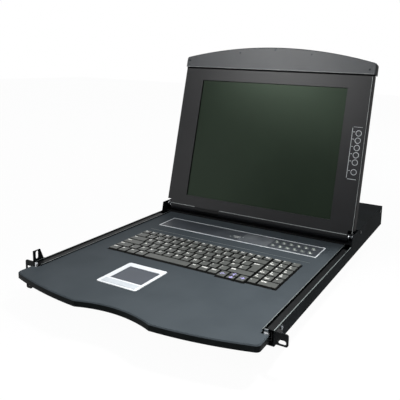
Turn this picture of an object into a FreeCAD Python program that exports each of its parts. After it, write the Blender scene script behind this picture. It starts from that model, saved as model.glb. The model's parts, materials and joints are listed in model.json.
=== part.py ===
"""Rackmount LCD console drawer: a 1U chassis, a telescoping keyboard drawer and a fold-down 17 inch display.

Frame: X to the right, Y to the back, Z up, millimetres. The origin lies midway between the two rack
ear slots, on the ears' front faces. The display stands open, as it does in use.
"""
import FreeCAD, Part
import math
import os

import Sketcher

os.makedirs("parts", exist_ok=True)
doc = FreeCAD.newDocument("console_drawer")
Vec = FreeCAD.Vector

# ---------------------------------------------------------------- driving dimensions
SIZES = [
    # rack interface
    ("slot_reach", 11.55), ("ear_reach", 20.3), ("ear_sheet", 2.0), ("slot_radius", 3.2),
    ("slot_length", 12.0), ("ear_top", 12.5), ("ear_drop", 5.0), ("ear_depth", 24.0), ("ear_corner", 3.0),
    ("ear_screw_inset", 4.0), ("ear_screw_drop", 3.5), ("leg_slot_drop", 31.75), ("leg_end", 6.0),
    ("leg_width", 12.5), ("leg_slot_radius", 2.3), ("leg_slot_length", 8.0), ("lug_depth", 14.0),
    ("lug_gusset", 7.0), ("lug_top", 31.0), ("lug_slot_radius", 3.0), ("lug_slot_length", 14.0),
    ("lug_slot_shift", 0.5), ("lug_slot_lift", 1.0), ("screw_radius", 2.6), ("screw_head", 1.4),
    ("screw_pitch", 10.0),
    # chassis
    ("display_gap", 3.5), ("chassis_front", 2.0), ("chassis_depth", 606.0), ("floor_drop", 10.5),
    ("rail_height", 23.0), ("chassis_height", 43.5), ("chassis_sheet", 1.5), ("cheek_front", 358.6),
    ("cheek_slope", 4.0), ("housing_inset", 44.9), ("housing_lip", 18.0), ("cover_screw_front", 14.0),
    ("cover_screw_back", 20.0), ("cover_screw_drop", 6.0), ("clearance", 0.3),
    # telescoping slides
    ("slide_level", 1.0), ("slide_height", 19.0), ("slide_sheet", 1.2), ("slide_front", 5.0),
    ("slide_length", 340.0), ("slide_bay", 14.2), ("slide_lip", 9.8), ("slide_setback", 1.9),
    ("ball_diameter", 2.0), ("ball_play", 0.05), ("ball_width", 3.0), ("ball_pitch", 30.0),
    ("cage_sheet", 1.0), ("cage_front", 130.0), ("cage_length", 90.0), ("cage_width", 4.5),
    ("cage_toe_gap", 0.5), ("ball_margin", 0.7),
    # deck and tray
    ("deck_level", 9.5), ("deck_sheet", 2.0), ("deck_rim", 2.0), ("palm_rear", 8.0), ("palm_side", 36.0),
    ("palm_crest", 63.0), ("palm_crest_half", 67.0), ("palm_dip_radius", 190.0), ("palm_bow_radius", 600.0),
    ("palm_thickness", 10.0), ("palm_wall", 2.5), ("palm_corner", 5.0), ("palm_bevel", 1.5),
    ("palm_rib_pitch", 70.0), ("palm_rib_height", 8.0), ("palm_shoulder", 1.5), ("tray_sheet", 1.2),
    ("tray_lift", 1.0), ("tray_rear", 396.0),
    # keyboard
    ("keys_left", 165.4), ("keys_front", 117.5), ("key_pitch", 18.68), ("row_pitch", 19.4),
    ("function_depth", 16.5), ("side_pitch", 17.47), ("side_gap", 1.2), ("key_gap", 0.8), ("key_height", 4.8),
    ("key_taper", 1.5), ("key_socket", 4.0), ("key_socket_depth", 3.2), ("key_rise", 2.7),
    ("key_travel", 2.0), ("post_play", 0.4), ("keys_margin", 0.7), ("arrow_drop", 4.0),
    ("keyboard_sheet", 1.5), ("keyboard_depth", 6.5), ("keyboard_wall", 1.5),
    # touchpad
    ("touch_left", 86.5), ("touch_width", 78.2), ("touch_front", 2.8), ("touch_depth", 83.0),
    ("touch_rise", 1.2), ("touch_flange", 3.0), ("touch_body", 4.0), ("touch_corner", 4.0),
    ("pad_width", 62.0), ("pad_depth", 50.0), ("pad_side", 6.0), ("pad_front", 20.7), ("pad_sheet", 1.5),
    ("touch_button_front", 3.9), ("touch_button_depth", 13.1), ("touch_button_rise", 0.3),
    ("touch_button_travel", 0.7), ("touch_button_inset", 3.0), ("pad_lift", 0.3),
    # switch panel
    ("panel_left_inset", 49.0), ("panel_right_inset", 39.0), ("panel_front", 277.5), ("panel_depth", 55.5),
    ("panel_border", 2.0), ("panel_rise", 0.6), ("membrane_sheet", 0.4), ("port_key_pitch", 15.1),
    ("port_key_width", 9.1), ("port_key_depth", 7.3), ("port_key_inset", 96.5), ("port_key_front", 11.2),
    ("port_row_pitch", 20.6), ("port_key_rise", 0.3), ("port_key_height", 1.5),
    # display, measured in its own plane from the hinge axis
    ("hinge_back", 382.4), ("open_angle", 76.0), ("shut_gap", 0.8), ("display_thickness", 19.5),
    ("bezel_side", 48.5), ("display_base", 3.5), ("bezel_top", 320.0), ("bezel_sheet", 2.5),
    ("screen_width", 338.0), ("screen_height", 264.0), ("screen_base", 27.5), ("back_wall", 1.6),
    ("barrel_wall", 1.5), ("back_chamfer", 2.0), ("tongue_inset", 16.0), ("tongue_gap", 0.6),
    ("glass_sheet", 1.1), ("glass_overlap", 3.0), ("module_depth", 9.0), ("module_border", 9.5),
    ("driver_width", 120.0), ("driver_height", 80.0), ("driver_base", 70.0), ("driver_sheet", 1.6),
    ("driver_gap", 1.6), ("driver_post", 4.0), ("strip_half", 7.0), ("strip_reach", 8.0),
    ("switch_height", 1.0), ("switch_half", 2.0), ("strip_post", 3.0), ("strip_post_inset", 2.0),
    ("handle_gap", 1.2), ("handle_lip", 3.5), ("handle_peak", 371.0), ("handle_bow", 914.7),
    ("handle_corner", 6.0), ("handle_round", 2.4), ("bezel_round", 1.2), ("handle_screw_radius", 2.2),
    ("handle_screw_head", 0.3), ("handle_screw_pitch", 84.0), ("handle_screw_row", 17.8),
    ("handle_screw_top", 6.0), ("corner_screw_side", 7.5), ("corner_screw_rise", 15.0),
    ("corner_screw_side_right", 12.5), ("corner_screw_rise_right", 9.0), ("screw_seat", 1.0),
    ("knuckle_width", 10.0), ("knuckle_radius", 7.0), ("knuckle_play", 0.5), ("notch_height", 13.0),
    ("pin_radius", 3.0), ("pin_play", 0.05), ("pin_length", 26.0), ("knuckle_stem", 4.9),
    ("neck_left", 142.0), ("neck_width", 61.0), ("neck_shoulder", 3.0), ("neck_reach", 8.0),
    ("neck_half", 6.14), ("neck_lip", 0.2), ("hinge_base_depth", 25.0), ("hinge_base_rise", 2.8),
    ("hinge_base_sheet", 1.1),
    # display buttons
    ("osd_offset", 20.5), ("osd_width", 22.5), ("osd_base", 111.5), ("osd_height", 104.0), ("osd_sheet", 0.3),
    ("osd_corner", 2.0), ("button_offset", 34.0), ("button_radius", 4.4), ("button_row", 202.8),
    ("button_pitch", 14.4), ("power_gap", 19.0), ("button_rise", 0.3), ("button_length", 3.6),
    ("button_play", 0.35), ("button_travel", 0.8), ("button_collar", 1.0),
    # rear housing contents and connectors
    ("port_pitch", 33.5), ("port_inset", 18.0), ("port_level", 11.0), ("port_width", 30.8),
    ("port_height", 12.5), ("port_shell_width", 16.4), ("port_shell_height", 8.0), ("port_shell_length", 6.0),
    ("port_depth", 14.0), ("jack_radius", 2.4), ("jack_length", 5.0), ("jack_margin", 0.6),
    ("shell_slant", 1.44), ("inlet_inset", 54.5), ("inlet_width", 62.0), ("inlet_height", 28.0),
    ("inlet_depth", 24.0), ("inlet_flange", 1.5), ("inlet_corner", 2.0), ("socket_width", 24.6),
    ("socket_height", 16.6), ("socket_depth", 16.0), ("socket_corner", 5.0), ("socket_margin", 2.0),
    ("blade_pitch", 7.0), ("blade_offset", 2.5), ("blade_setback", 3.0), ("blade_width", 4.0),
    ("blade_sheet", 2.0), ("rocker_width", 14.0), ("rocker_window", 13.0), ("rocker_drum", 4.2),
    ("rocker_margin", 4.0), ("rocker_room", 9.0), ("rocker_set", 1.5), ("rocker_toe", 4.0),
    ("rocker_toe_drop", 5.2), ("rocker_waist", 2.98), ("rocker_waist_rise", 0.37), ("rocker_heel", 2.62),
    ("rocker_heel_rise", 6.0), ("board_rise", 4.0), ("board_sheet", 1.6), ("board_front", 446.0),
    ("board_back", 591.0), ("board_left", 9.0), ("board_right", 16.0), ("chip_size", 18.0),
    ("chip_inset", 40.0), ("chip_height", 2.2), ("post_inset", 6.0), ("post_radius", 3.0),
    ("supply_reach", 48.0), ("supply_gap", 6.0), ("inlet_gap", 3.0), ("core_inset", 12.0),
    ("core_width", 32.0), ("core_front", 45.0), ("core_depth", 35.0), ("core_height", 24.0),
    ("reservoir_gap", 17.0), ("reservoir_radius", 9.0), ("reservoir_height", 26.0), ("sink_inset", 11.0),
    ("sink_sheet", 3.0),
    # drawer latches
    ("latch_width", 6.0), ("latch_height", 9.6), ("latch_sheet", 1.5), ("latch_set", 3.0),
    ("latch_face", 3.5), ("latch_foot", 3.0), ("latch_shelf", 2.0), ("latch_bay", 9.2),
    ("latch_shelf_back", 1.5), ("latch_drop", 5.0),
]


class Size:
    """A length together with the sheet expression that gives it, so that arithmetic keeps both."""

    def __init__(self, value, text):
        self.value = value
        self.text = text

    def combine(self, other, sign, value):
        text = other.text if isinstance(other, Size) else "%.10g" % other
        return Size(value, "(%s %s %s)" % (self.text, sign, text))

    def __add__(self, other):
        return self.combine(other, "+", self.value + number(other))

    def __sub__(self, other):
        return self.combine(other, "-", self.value - number(other))

    def __mul__(self, other):
        return self.combine(other, "*", self.value * number(other))

    def __truediv__(self, other):
        return self.combine(other, "/", self.value / number(other))

    def __neg__(self):
        return Size(-self.value, "(0 - %s)" % self.text)

    def __radd__(self, other):
        return size_of(other) + self

    def __rsub__(self, other):
        return size_of(other) - self

    def __rmul__(self, other):
        return self * other


def root(size):
    return Size(math.sqrt(size.value), "sqrt(%s)" % size.text)


def number(item):
    return item.value if isinstance(item, Size) else float(item)


def size_of(item):
    return item if isinstance(item, Size) else Size(float(item), "%.10g" % item)


def make_sheet():
    """Write the driving dimensions into the sheet and return them by name."""
    sheet = doc.addObject("Spreadsheet::Sheet", "Sizes")
    for row, (alias, value) in enumerate(SIZES, start=1):
        sheet.set("A%d" % row, alias)
        sheet.set("B%d" % row, "%.10g" % value)
        sheet.setAlias("B%d" % row, alias)
    return {alias: Size(float(value), "Sizes." + alias) for alias, value in SIZES}


class Named:
    """Gives the driving dimensions as attributes."""

    def __init__(self, sizes):
        self.__dict__.update(sizes)


S = Named(make_sheet())
doc.recompute()


# ---------------------------------------------------------------- building helpers
def bind(item, prop, size):
    """Give a property its value, and its expression where it has one."""
    if isinstance(size, Size):
        item.setExpression(prop, size.text)
    elif prop.startswith("Placement.Base."):
        place = item.Placement
        setattr(place.Base, prop[-1], float(size))
        item.Placement = place
    else:
        setattr(item, prop, float(size))


def box(name, x, y, z):
    """A Part box over three (low, high) pairs."""
    item = doc.addObject("Part::Box", name)
    for prop, axis, (low, high) in (("Length", "x", x), ("Width", "y", y), ("Height", "z", z)):
        bind(item, prop, size_of(high) - low)
        bind(item, "Placement.Base." + axis, size_of(low))
    return item


AXES = {
    "x": FreeCAD.Rotation(Vec(0, 1, 0), 90),
    "y": FreeCAD.Rotation(Vec(1, 0, 0), -90),
    "z": FreeCAD.Rotation(),
}


def cylinder(name, axis, centre, radius, low, high):
    """A Part cylinder along an axis, from low to high, at its centre in the other two coordinates."""
    item = doc.addObject("Part::Cylinder", name)
    item.Placement = FreeCAD.Placement(Vec(), AXES[axis])
    bind(item, "Radius", size_of(radius))
    bind(item, "Height", size_of(high) - low)
    bind(item, "Placement.Base." + axis, size_of(low))
    for other, value in zip([a for a in "xyz" if a != axis], centre):
        bind(item, "Placement.Base." + other, size_of(value))
    return item


def cut(name, base, tools):
    """Cut one tool, or a group of them, from a base."""
    item = doc.addObject("Part::Cut", name)
    item.Base = base
    item.Tool = tools[0] if len(tools) == 1 else fuse(name + "_tools", tools)
    return item


def fuse(name, pieces):
    item = doc.addObject("Part::MultiFuse", name)
    item.Shapes = pieces
    return item


def group(name, pieces):
    """Several separate solids under one name."""
    item = doc.addObject("Part::Compound", name)
    item.Links = pieces
    return item


class Slot:
    """A straight slot with round ends, along the sketch's first axis or, upright, along its second."""

    def __init__(self, u, v, length, radius, upright=False):
        self.u, self.v, self.length, self.radius, self.upright = u, v, length, radius, upright


class Circle:
    def __init__(self, u, v, radius):
        self.u, self.v, self.radius = u, v, radius


class SketchWriter:
    """Adds closed loops to one sketch and dimensions every corner from the sheet."""

    def __init__(self, body, plane, level):
        self.sketch = body.newObject("Sketcher::SketchObject", body.Name + "_sketch")
        support = [o for o in body.Origin.OriginFeatures if o.Role == plane][0]
        self.sketch.AttachmentSupport = [(support, "")]
        self.sketch.MapMode = "FlatFace"
        self.sketch.setExpression("AttachmentOffset.Base.z", size_of(level).text)

    def constrain(self, kind, *args):
        """Add a constraint whose last argument may be a size."""
        size = args[-1]
        if isinstance(size, Size):
            index = self.sketch.addConstraint(Sketcher.Constraint(kind, *args[:-1], size.value))
            self.sketch.setExpression("Constraints[%d]" % index, size.text)
        else:
            self.sketch.addConstraint(Sketcher.Constraint(kind, *args))

    def place(self, geometry, point, u, v):
        self.constrain("DistanceX", -1, 1, geometry, point, size_of(u))
        self.constrain("DistanceY", -1, 1, geometry, point, size_of(v))

    def loop(self, corners):
        """A closed loop of (u, v) corners; a third entry is the radius of an arc to the next corner,
        positive where the arc's centre lies to the left. A half circle is held by its centre instead."""
        count = len(corners)
        edges, bends = [], []
        for here, there in zip(corners, corners[1:] + corners[:1]):
            start = Vec(number(here[0]), number(here[1]), 0)
            end = Vec(number(there[0]), number(there[1]), 0)
            if len(here) == 2:
                edges.append((self.sketch.addGeometry(Part.LineSegment(start, end)), 1, 2))
                continue
            radius = number(here[2])
            chord = end - start
            left = Vec(-chord.y, chord.x, 0).normalize() * (1 if radius > 0 else -1)
            reach = math.sqrt(max(radius ** 2 - (chord.Length / 2) ** 2, 0))
            centre = (start + end) * 0.5 + left * reach
            first, last = (start, end) if radius > 0 else (end, start)
            angles = [math.atan2(p.y - centre.y, p.x - centre.x) for p in (first, last)]
            if angles[1] < angles[0]:
                angles[1] += 2 * math.pi
            arc = Part.ArcOfCircle(Part.Circle(centre, Vec(0, 0, 1), abs(radius)), angles[0], angles[1])
            ends = (1, 2) if radius > 0 else (2, 1)
            edge = self.sketch.addGeometry(arc)
            edges.append((edge, ends[0], ends[1]))
            bends.append((edge, here, reach, chord))
        for index, (edge, start, end) in enumerate(edges):
            following = edges[(index + 1) % count]
            self.constrain("Coincident", edge, end, following[0], following[1])
            self.place(edge, start, corners[index][0], corners[index][1])
        for edge, here, reach, chord in bends:
            if reach > 1e-3:
                self.constrain("Radius", edge, abs_size(here[2]))
            elif abs(chord.x) < abs(chord.y):
                self.constrain("DistanceX", -1, 1, edge, 3, size_of(here[0]))
            else:
                self.constrain("DistanceY", -1, 1, edge, 3, size_of(here[1]))

    def circle(self, item):
        centre = Vec(number(item.u), number(item.v), 0)
        edge = self.sketch.addGeometry(Part.Circle(centre, Vec(0, 0, 1), number(item.radius)))
        self.place(edge, 3, item.u, item.v)
        self.constrain("Radius", edge, size_of(item.radius))

    def slot(self, item):
        """Two half circles joined by two straight edges."""
        half = (size_of(item.length) / 2) - item.radius
        u, v, radius = size_of(item.u), size_of(item.v), item.radius
        if item.upright:
            self.loop([(u - radius, v + half), (u - radius, v - half, radius), (u + radius, v - half),
                       (u + radius, v + half, radius)])
        else:
            self.loop([(u - half, v - radius), (u + half, v - radius, radius), (u + half, v + radius),
                       (u - half, v + radius, radius)])

    def add(self, item):
        if isinstance(item, Circle):
            self.circle(item)
        elif isinstance(item, Slot):
            self.slot(item)
        else:
            self.loop(item)


def abs_size(item):
    return item if number(item) > 0 else -size_of(item)


def rectangle(u, v):
    """Corners of a rectangle over two (low, high) pairs, anticlockwise."""
    return [(u[0], v[0]), (u[1], v[0]), (u[1], v[1]), (u[0], v[1])]


def around(u, v, half_width, half_height, gap=0):
    """Corners of a rectangle about a centre, larger by a gap on every side."""
    wide, tall = half_width + gap, half_height + gap
    return rectangle((u - wide, u + wide), (v - tall, v + tall))


def rounded(u, v, radius):
    """A rectangle over two (low, high) pairs with round corners."""
    r = size_of(radius)
    (u0, u1), (v0, v1) = [(size_of(a), size_of(b)) for a, b in (u, v)]
    return [(u0 + r, v0), (u1 - r, v0, r), (u1, v0 + r), (u1, v1 - r, r), (u1 - r, v1), (u0 + r, v1, r),
            (u0, v1 - r), (u0, v0 + r, r)]


NORMALS = {"XY_Plane": 1, "XZ_Plane": -1, "YZ_Plane": 1}


class Shell:
    """A PartDesign body built from pads and pockets between two levels along a plane's axis."""

    def __init__(self, name):
        self.body = doc.addObject("PartDesign::Body", name)
        self.cuts = []

    def feature(self, kind, plane, loops, low, high):
        low, high = size_of(low), size_of(high)
        facing = NORMALS[plane]
        start, end = (low, high) if facing > 0 else (-high, -low)
        writer = SketchWriter(self.body, plane, start if kind == "Pad" else end)
        for item in loops:
            writer.add(item)
        feature = self.body.newObject("PartDesign::" + kind, "%s_%s" % (self.body.Name, kind.lower()))
        feature.Profile = writer.sketch
        bind(feature, "Length", end - start)
        writer.sketch.Visibility = False
        return feature

    def pad(self, plane, loops, low, high):
        self.feature("Pad", plane, loops, low, high)
        return self

    def pocket(self, plane, loops, low, high):
        self.cuts.append(self.feature("Pocket", plane, loops, low, high))
        return self

    def dress_edges(self, kind, prop, size, chosen):
        """Add a Fillet or a Chamfer on the edges of the last feature whose bounding box is chosen."""
        doc.recompute()
        base = self.body.Tip
        edges = enumerate(base.Shape.Edges, start=1)
        names = ["Edge%d" % index for index, edge in edges if chosen(edge.BoundBox)]
        feature = self.body.newObject("PartDesign::" + kind, "%s_%s" % (self.body.Name, kind.lower()))
        feature.Base = (base, names)
        bind(feature, prop, size)
        return self

    def in_display(self):
        """Carry the body from the display's own plane to its open place."""
        seat_display(self.body)
        return self


shells = []
nodes = []


def shell(name):
    item = Shell(name)
    shells.append(item)
    nodes.append(item.body)
    return item


def close(low, high, value):
    """Whether both ends of a span lie at a value."""
    return abs(low - number(value)) < 0.01 and abs(high - number(value)) < 0.01


def node(name, pieces):
    """A group that is exported as a part of its own."""
    item = group(name, pieces)
    nodes.append(item)
    return item


# ---------------------------------------------------------------- shared levels and edges
SPILL = 1.0  # how far a cut or a tie runs past the face that it crosses

display_half = S.screen_width / 2 + S.bezel_side
half = display_half + S.display_gap
slot_middle = half + S.slot_reach
ear_end = half + S.ear_reach
wall_face = half - S.chassis_sheet
floor = -S.floor_drop
floor_top = floor + S.chassis_sheet
rail_top = floor + S.rail_height
chassis_top = floor + S.chassis_height
cover_under = chassis_top - S.chassis_sheet
lid_front = S.cheek_front + S.housing_inset
chassis_back = S.chassis_front + S.chassis_depth
panel_face = chassis_back - S.chassis_sheet

port_first = S.port_inset - half
inlet_middle = wall_face - S.inlet_inset
inlet_half = S.inlet_width / 2 - S.touch_flange
inlet_rise = S.inlet_height / 2 - S.touch_flange
rocker_middle = inlet_middle + inlet_half - S.rocker_margin - S.rocker_width / 2

deck_top = S.deck_level
deck_under = deck_top - S.deck_sheet
bay_face = wall_face - S.slide_bay
tray_floor = floor_top + S.tray_lift
shelf_top = deck_top - S.latch_drop

display_front = S.display_thickness / 2
hinge_level = rail_top + S.shut_gap + display_front
bezel_under = display_front - S.bezel_sheet
glass_under = bezel_under - S.glass_sheet
module_under = glass_under - S.module_depth
knuckle_face = display_half - S.knuckle_width
notch_face = knuckle_face - S.knuckle_play
button_column = S.screen_width / 2 + S.button_offset


def mirrored(low, high):
    """The (low, high) pair on the left that mirrors one on the right."""
    return (-size_of(high), -size_of(low))


def sides(low, high):
    """The same (low, high) pair on the left and on the right, with each side's name and sign."""
    return (("left", -1, mirrored(low, high)), ("right", 1, (low, high)))


def seat_display(item):
    """Carry an object from the display's own plane to its open place on the hinge axis."""
    item.Placement = FreeCAD.Placement(Vec(), FreeCAD.Rotation(Vec(1, 0, 0), S.open_angle.value))
    item.setExpression("Placement.Base.y", S.hinge_back.text)
    item.setExpression("Placement.Base.z", hinge_level.text)
    for axis, value in (("x", "1"), ("y", "0"), ("z", "0")):
        item.setExpression("Placement.Rotation.Axis." + axis, value)
    item.setExpression("Placement.Rotation.Angle", S.open_angle.text)
    return item


# ---------------------------------------------------------------- chassis
def base_pan():
    """One bent sheet: floor, low side rails in front, full-height cheeks behind."""
    pan = shell("base_pan")
    front = S.chassis_front
    profile = [(front, floor), (chassis_back, floor), (chassis_back, cover_under),
               (S.cheek_front + S.cheek_slope, cover_under), (S.cheek_front, rail_top), (front, rail_top)]
    pan.pad("YZ_Plane", [profile], -half, half)
    inside = rectangle((front - SPILL, chassis_back + SPILL), (floor_top, chassis_top))
    pan.pocket("YZ_Plane", [inside], -wall_face, wall_face)


def top_cover():
    """Lid of the rear housing with a turned-down front wall and side flanges."""
    lid = shell("top_cover")
    lid.pad("XY_Plane", [rectangle((-half, half), (lid_front, chassis_back))], cover_under, chassis_top)
    front = rectangle((-wall_face, wall_face), (chassis_top - S.housing_lip, cover_under))
    lid.pad("XZ_Plane", [front], lid_front, lid_front + S.chassis_sheet)


def rear_panel():
    panel = shell("rear_panel")
    outline = rectangle((-wall_face, wall_face), (floor_top, cover_under))
    panel.pad("XZ_Plane", [outline], panel_face, chassis_back)
    shell_half, shell_rise = S.port_shell_width / 2, S.port_shell_height / 2
    holes = [around(place, S.port_level, shell_half, shell_rise, S.clearance) for place in port_places()]
    holes.append(around(inlet_middle, S.port_level, inlet_half, inlet_rise, S.clearance))
    panel.pocket("XZ_Plane", holes, panel_face, chassis_back)


def port_places():
    """X of each D-sub port: eight computer ports and one console port."""
    return [port_first + S.port_pitch * step for step in range(9)]


def trapezoid_boss(name, centre, level, width, height, start, length):
    """A D-shaped boss along Y, narrower below, as a Part wedge."""
    item = doc.addObject("Part::Wedge", name)
    item.Placement = FreeCAD.Placement(Vec(), FreeCAD.Rotation(Vec(1, 0, 0), 90))
    bind(item, "Xmin", S.shell_slant)
    bind(item, "Xmax", width - S.shell_slant)
    bind(item, "X2min", size_of(0))
    bind(item, "X2max", size_of(width))
    for prop, value in (("Ymin", size_of(0)), ("Ymax", height), ("Zmin", size_of(0)), ("Z2min", size_of(0)),
                        ("Zmax", length), ("Z2max", length)):
        bind(item, prop, size_of(value))
    bind(item, "Placement.Base.x", centre - width / 2)
    bind(item, "Placement.Base.y", size_of(start) + length)
    bind(item, "Placement.Base.z", level - height / 2)
    return item


def computer_ports():
    """High-density D-sub sockets: flange behind the panel, shell through it, jack nuts on it."""
    pieces = []
    for index, place in enumerate(port_places()):
        tag = "port_%d_" % (index + 1)
        body = box(tag + "body", (place - S.port_width / 2, place + S.port_width / 2),
                   (panel_face - S.port_depth, panel_face),
                   (S.port_level - S.port_height / 2, S.port_level + S.port_height / 2))
        nose = trapezoid_boss(tag + "shell", place, S.port_level, S.port_shell_width, S.port_shell_height,
                              panel_face, S.port_shell_length + S.chassis_sheet)
        pieces.append(fuse(tag + "socket", [body, nose]))
        for side in (-1, 1):
            nut = (place + side * (S.port_width / 2 - S.jack_radius - S.jack_margin), S.port_level)
            pieces.append(cylinder("%sjack_%d" % (tag, side + 1), "y", nut, S.jack_radius,
                                   chassis_back, chassis_back + S.jack_length))
    node("computer_ports", pieces)


def power_inlet():
    """Combined appliance inlet and switch frame in the rear panel."""
    inlet = shell("power_inlet")
    wide, tall = S.inlet_width / 2, S.inlet_height / 2
    centre, level = inlet_middle, S.port_level
    face = chassis_back + S.inlet_flange
    flange = rounded((centre - wide, centre + wide), (level - tall, level + tall), S.inlet_corner)
    inlet.pad("XZ_Plane", [flange], chassis_back, face)
    inlet.pad("XZ_Plane", [around(centre, level, inlet_half, inlet_rise)], face - S.inlet_depth, chassis_back)
    mouth, rise, corner = S.socket_width / 2, S.socket_height / 2, S.socket_corner
    socket = centre - inlet_half + S.socket_margin + mouth
    outline = [(socket - mouth, level - rise), (socket + mouth, level - rise),
               (socket + mouth, level + rise - corner), (socket + mouth - corner, level + rise),
               (socket - mouth + corner, level + rise), (socket - mouth, level + rise - corner)]
    inlet.pocket("XZ_Plane", [outline], face - S.socket_depth, face)
    blades = []
    pitch, offset = S.blade_pitch, S.blade_offset
    for across, up in ((-pitch, -offset), (pitch, -offset), (0, offset)):
        blades.append(around(socket + across, level + up, S.blade_sheet / 2, S.blade_width / 2))
    inlet.pad("XZ_Plane", blades, face - S.socket_depth, face - S.blade_setback)
    window = around(rocker_middle, level, S.rocker_width / 2 + S.clearance, S.rocker_window / 2)
    inlet.pocket("XZ_Plane", [window], face - S.rocker_room, face)


def power_rocker():
    """Two-position rocker on a drum about an axis along X, shown with its lower half out."""
    rocker = shell("power_rocker")
    pivot, level = chassis_back - S.rocker_set, S.port_level
    drum = S.rocker_drum
    outline = [(pivot, level - drum), (pivot + S.rocker_toe, level - S.rocker_toe_drop),
               (pivot + S.rocker_waist, level + S.rocker_waist_rise),
               (pivot + S.rocker_heel, level + S.rocker_heel_rise), (pivot, level + drum, drum)]
    rocker.pad("YZ_Plane", [outline], rocker_middle - S.rocker_width / 2, rocker_middle + S.rocker_width / 2)


def board_posts(name, x, y, level):
    """Four round stand-offs under the corners of a board."""
    inset = S.post_inset
    rows = (y[0] + inset, y[1] - inset)
    places = [(across, along) for across in (x[0] + inset, x[1] - inset) for along in rows]
    return [cylinder("%s_%d" % (name, index), "z", place, S.post_radius, floor_top, level)
            for index, place in enumerate(places)]


def main_board():
    """Switching board on stand-offs, with its larger chips."""
    level = floor_top + S.board_rise
    left, right = port_first - S.board_left, port_first + S.port_pitch * 8 + S.board_right
    top = level + S.board_sheet
    pieces = [box("board", (left, right), (S.board_front, S.board_back), (level, top))]
    for index in range(4):
        place = left + S.chip_inset + S.port_pitch * 2 * index
        chip_front = S.board_front + S.chip_inset
        pieces.append(box("board_chip_%d" % index, (place, place + S.chip_size),
                          (chip_front, chip_front + S.chip_size), (top, top + S.chip_height)))
    pieces += board_posts("board_post", (left, right), (S.board_front, S.board_back), level)
    node("main_board", pieces)


def power_supply():
    """Open-frame supply: board, transformer, reservoir capacitor and heat sink."""
    level = floor_top + S.board_rise
    left, right = inlet_middle - S.supply_reach, wall_face - S.supply_gap
    front, back = S.board_front, panel_face - S.inlet_depth - S.inlet_gap
    top = level + S.board_sheet
    core = (left + S.core_inset, left + S.core_inset + S.core_width)
    core_rows = (front + S.core_front, front + S.core_front + S.core_depth)
    sink = (right - S.sink_inset - S.sink_sheet, right - S.sink_inset)
    drum = (core[1] + S.reservoir_gap + S.reservoir_radius, core_rows[1] + S.reservoir_radius)
    pieces = [box("supply_board", (left, right), (front, back), (level, top)),
              box("transformer", core, core_rows, (top, top + S.core_height)),
              cylinder("reservoir", "z", drum, S.reservoir_radius, top, top + S.reservoir_height),
              box("heat_sink", sink, (front + S.sink_inset, core_rows[1] + S.sink_inset),
                  (top, top + S.core_height))]
    pieces += board_posts("supply_post", (left, right), (front, back), level)
    node("power_supply", pieces)


def cover_screws():
    """Screws that hold the lid's front and back corners to the cheeks."""
    pieces = []
    for name, sign, reach in sides(half, half + S.screw_head):
        for index, along in enumerate((lid_front + S.cover_screw_front, chassis_back - S.cover_screw_back)):
            pieces.append(cylinder("cover_screw_%s_%d" % (name, index), "x",
                                   (along, cover_under - S.cover_screw_drop), S.screw_radius, *reach))
    node("cover_screws", pieces)


def ear(name, sign, with_leg):
    """Rack ear: slotted tab on a flange along the rail. The left one also has a slotted leg and a lug."""
    item = shell(name)
    outer, inner = ear_end, half
    c = S.ear_corner
    top, low = S.ear_top, -S.ear_drop
    if with_leg:
        foot = -S.leg_slot_drop - S.leg_end
        leg = outer - S.leg_width
        tab = [(-inner, top), (-outer + c, top, c), (-outer, top - c), (-outer, foot + c, c),
               (-outer + c, foot), (-leg - c, foot, c), (-leg, foot + c), (-leg, low), (-inner, low)]
        slots = [Slot(-slot_middle, 0, S.slot_length, S.slot_radius),
                 Slot(-outer + S.leg_width / 2, -S.leg_slot_drop, S.leg_slot_length, S.leg_slot_radius)]
    else:
        tab = [(inner, low), (outer - c, low, c), (outer, low + c), (outer, top - c, c), (outer - c, top),
               (inner, top)]
        slots = [Slot(slot_middle, 0, S.slot_length, S.slot_radius)]
    item.pad("XZ_Plane", [tab], 0, S.ear_sheet)
    flange = [(0, low), (S.ear_depth, low), (S.ear_depth, top)]
    if with_leg:
        flange += [(S.lug_depth + S.lug_gusset, top), (S.lug_depth, S.lug_top), (0, S.lug_top)]
    else:
        flange += [(0, top)]
    reach = (inner, inner + S.ear_sheet)
    item.pad("YZ_Plane", [flange], *(reach if sign > 0 else mirrored(*reach)))
    item.pocket("XZ_Plane", slots, 0, S.ear_sheet)
    if with_leg:
        middle = (top + S.lug_top) / 2 + S.lug_slot_lift
        along = S.lug_depth / 2 + S.lug_slot_shift
        hole = Slot(along, middle, S.lug_slot_length, S.lug_slot_radius, upright=True)
        item.pocket("YZ_Plane", [hole], *mirrored(*reach))


def ear_screws():
    """Two screws through each ear's flange into the rail."""
    pieces = []
    for name, sign, reach in sides(half + S.ear_sheet, half + S.ear_sheet + S.screw_head):
        for index in range(2):
            place = (S.ear_depth - S.ear_screw_inset, S.ear_top - S.ear_screw_drop - S.screw_pitch * index)
            pieces.append(cylinder("ear_screw_%s_%d" % (name, index), "x", place, S.screw_radius, *reach))
    node("ear_screws", pieces)


# ---------------------------------------------------------------- telescoping slides
slide_back = S.slide_front + S.slide_length
ball_room = S.ball_diameter + S.ball_play * 2


def channel(name, web, toe, half_height):
    """A C channel along the slide: its web as a (low, high) pair and its flanges' end, both in X."""
    item = shell(name)
    low, high = S.slide_level - half_height, S.slide_level + half_height
    if number(web[0]) > number(toe):
        profile = [(toe, low), (web[1], low), (web[1], high), (toe, high), (toe, high - S.slide_sheet),
                   (web[0], high - S.slide_sheet), (web[0], low + S.slide_sheet), (toe, low + S.slide_sheet)]
    else:
        profile = [(web[0], low), (toe, low), (toe, low + S.slide_sheet), (web[1], low + S.slide_sheet),
                   (web[1], high - S.slide_sheet), (toe, high - S.slide_sheet), (toe, high), (web[0], high)]
    item.pad("XZ_Plane", [profile], S.slide_front, slide_back)


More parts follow.
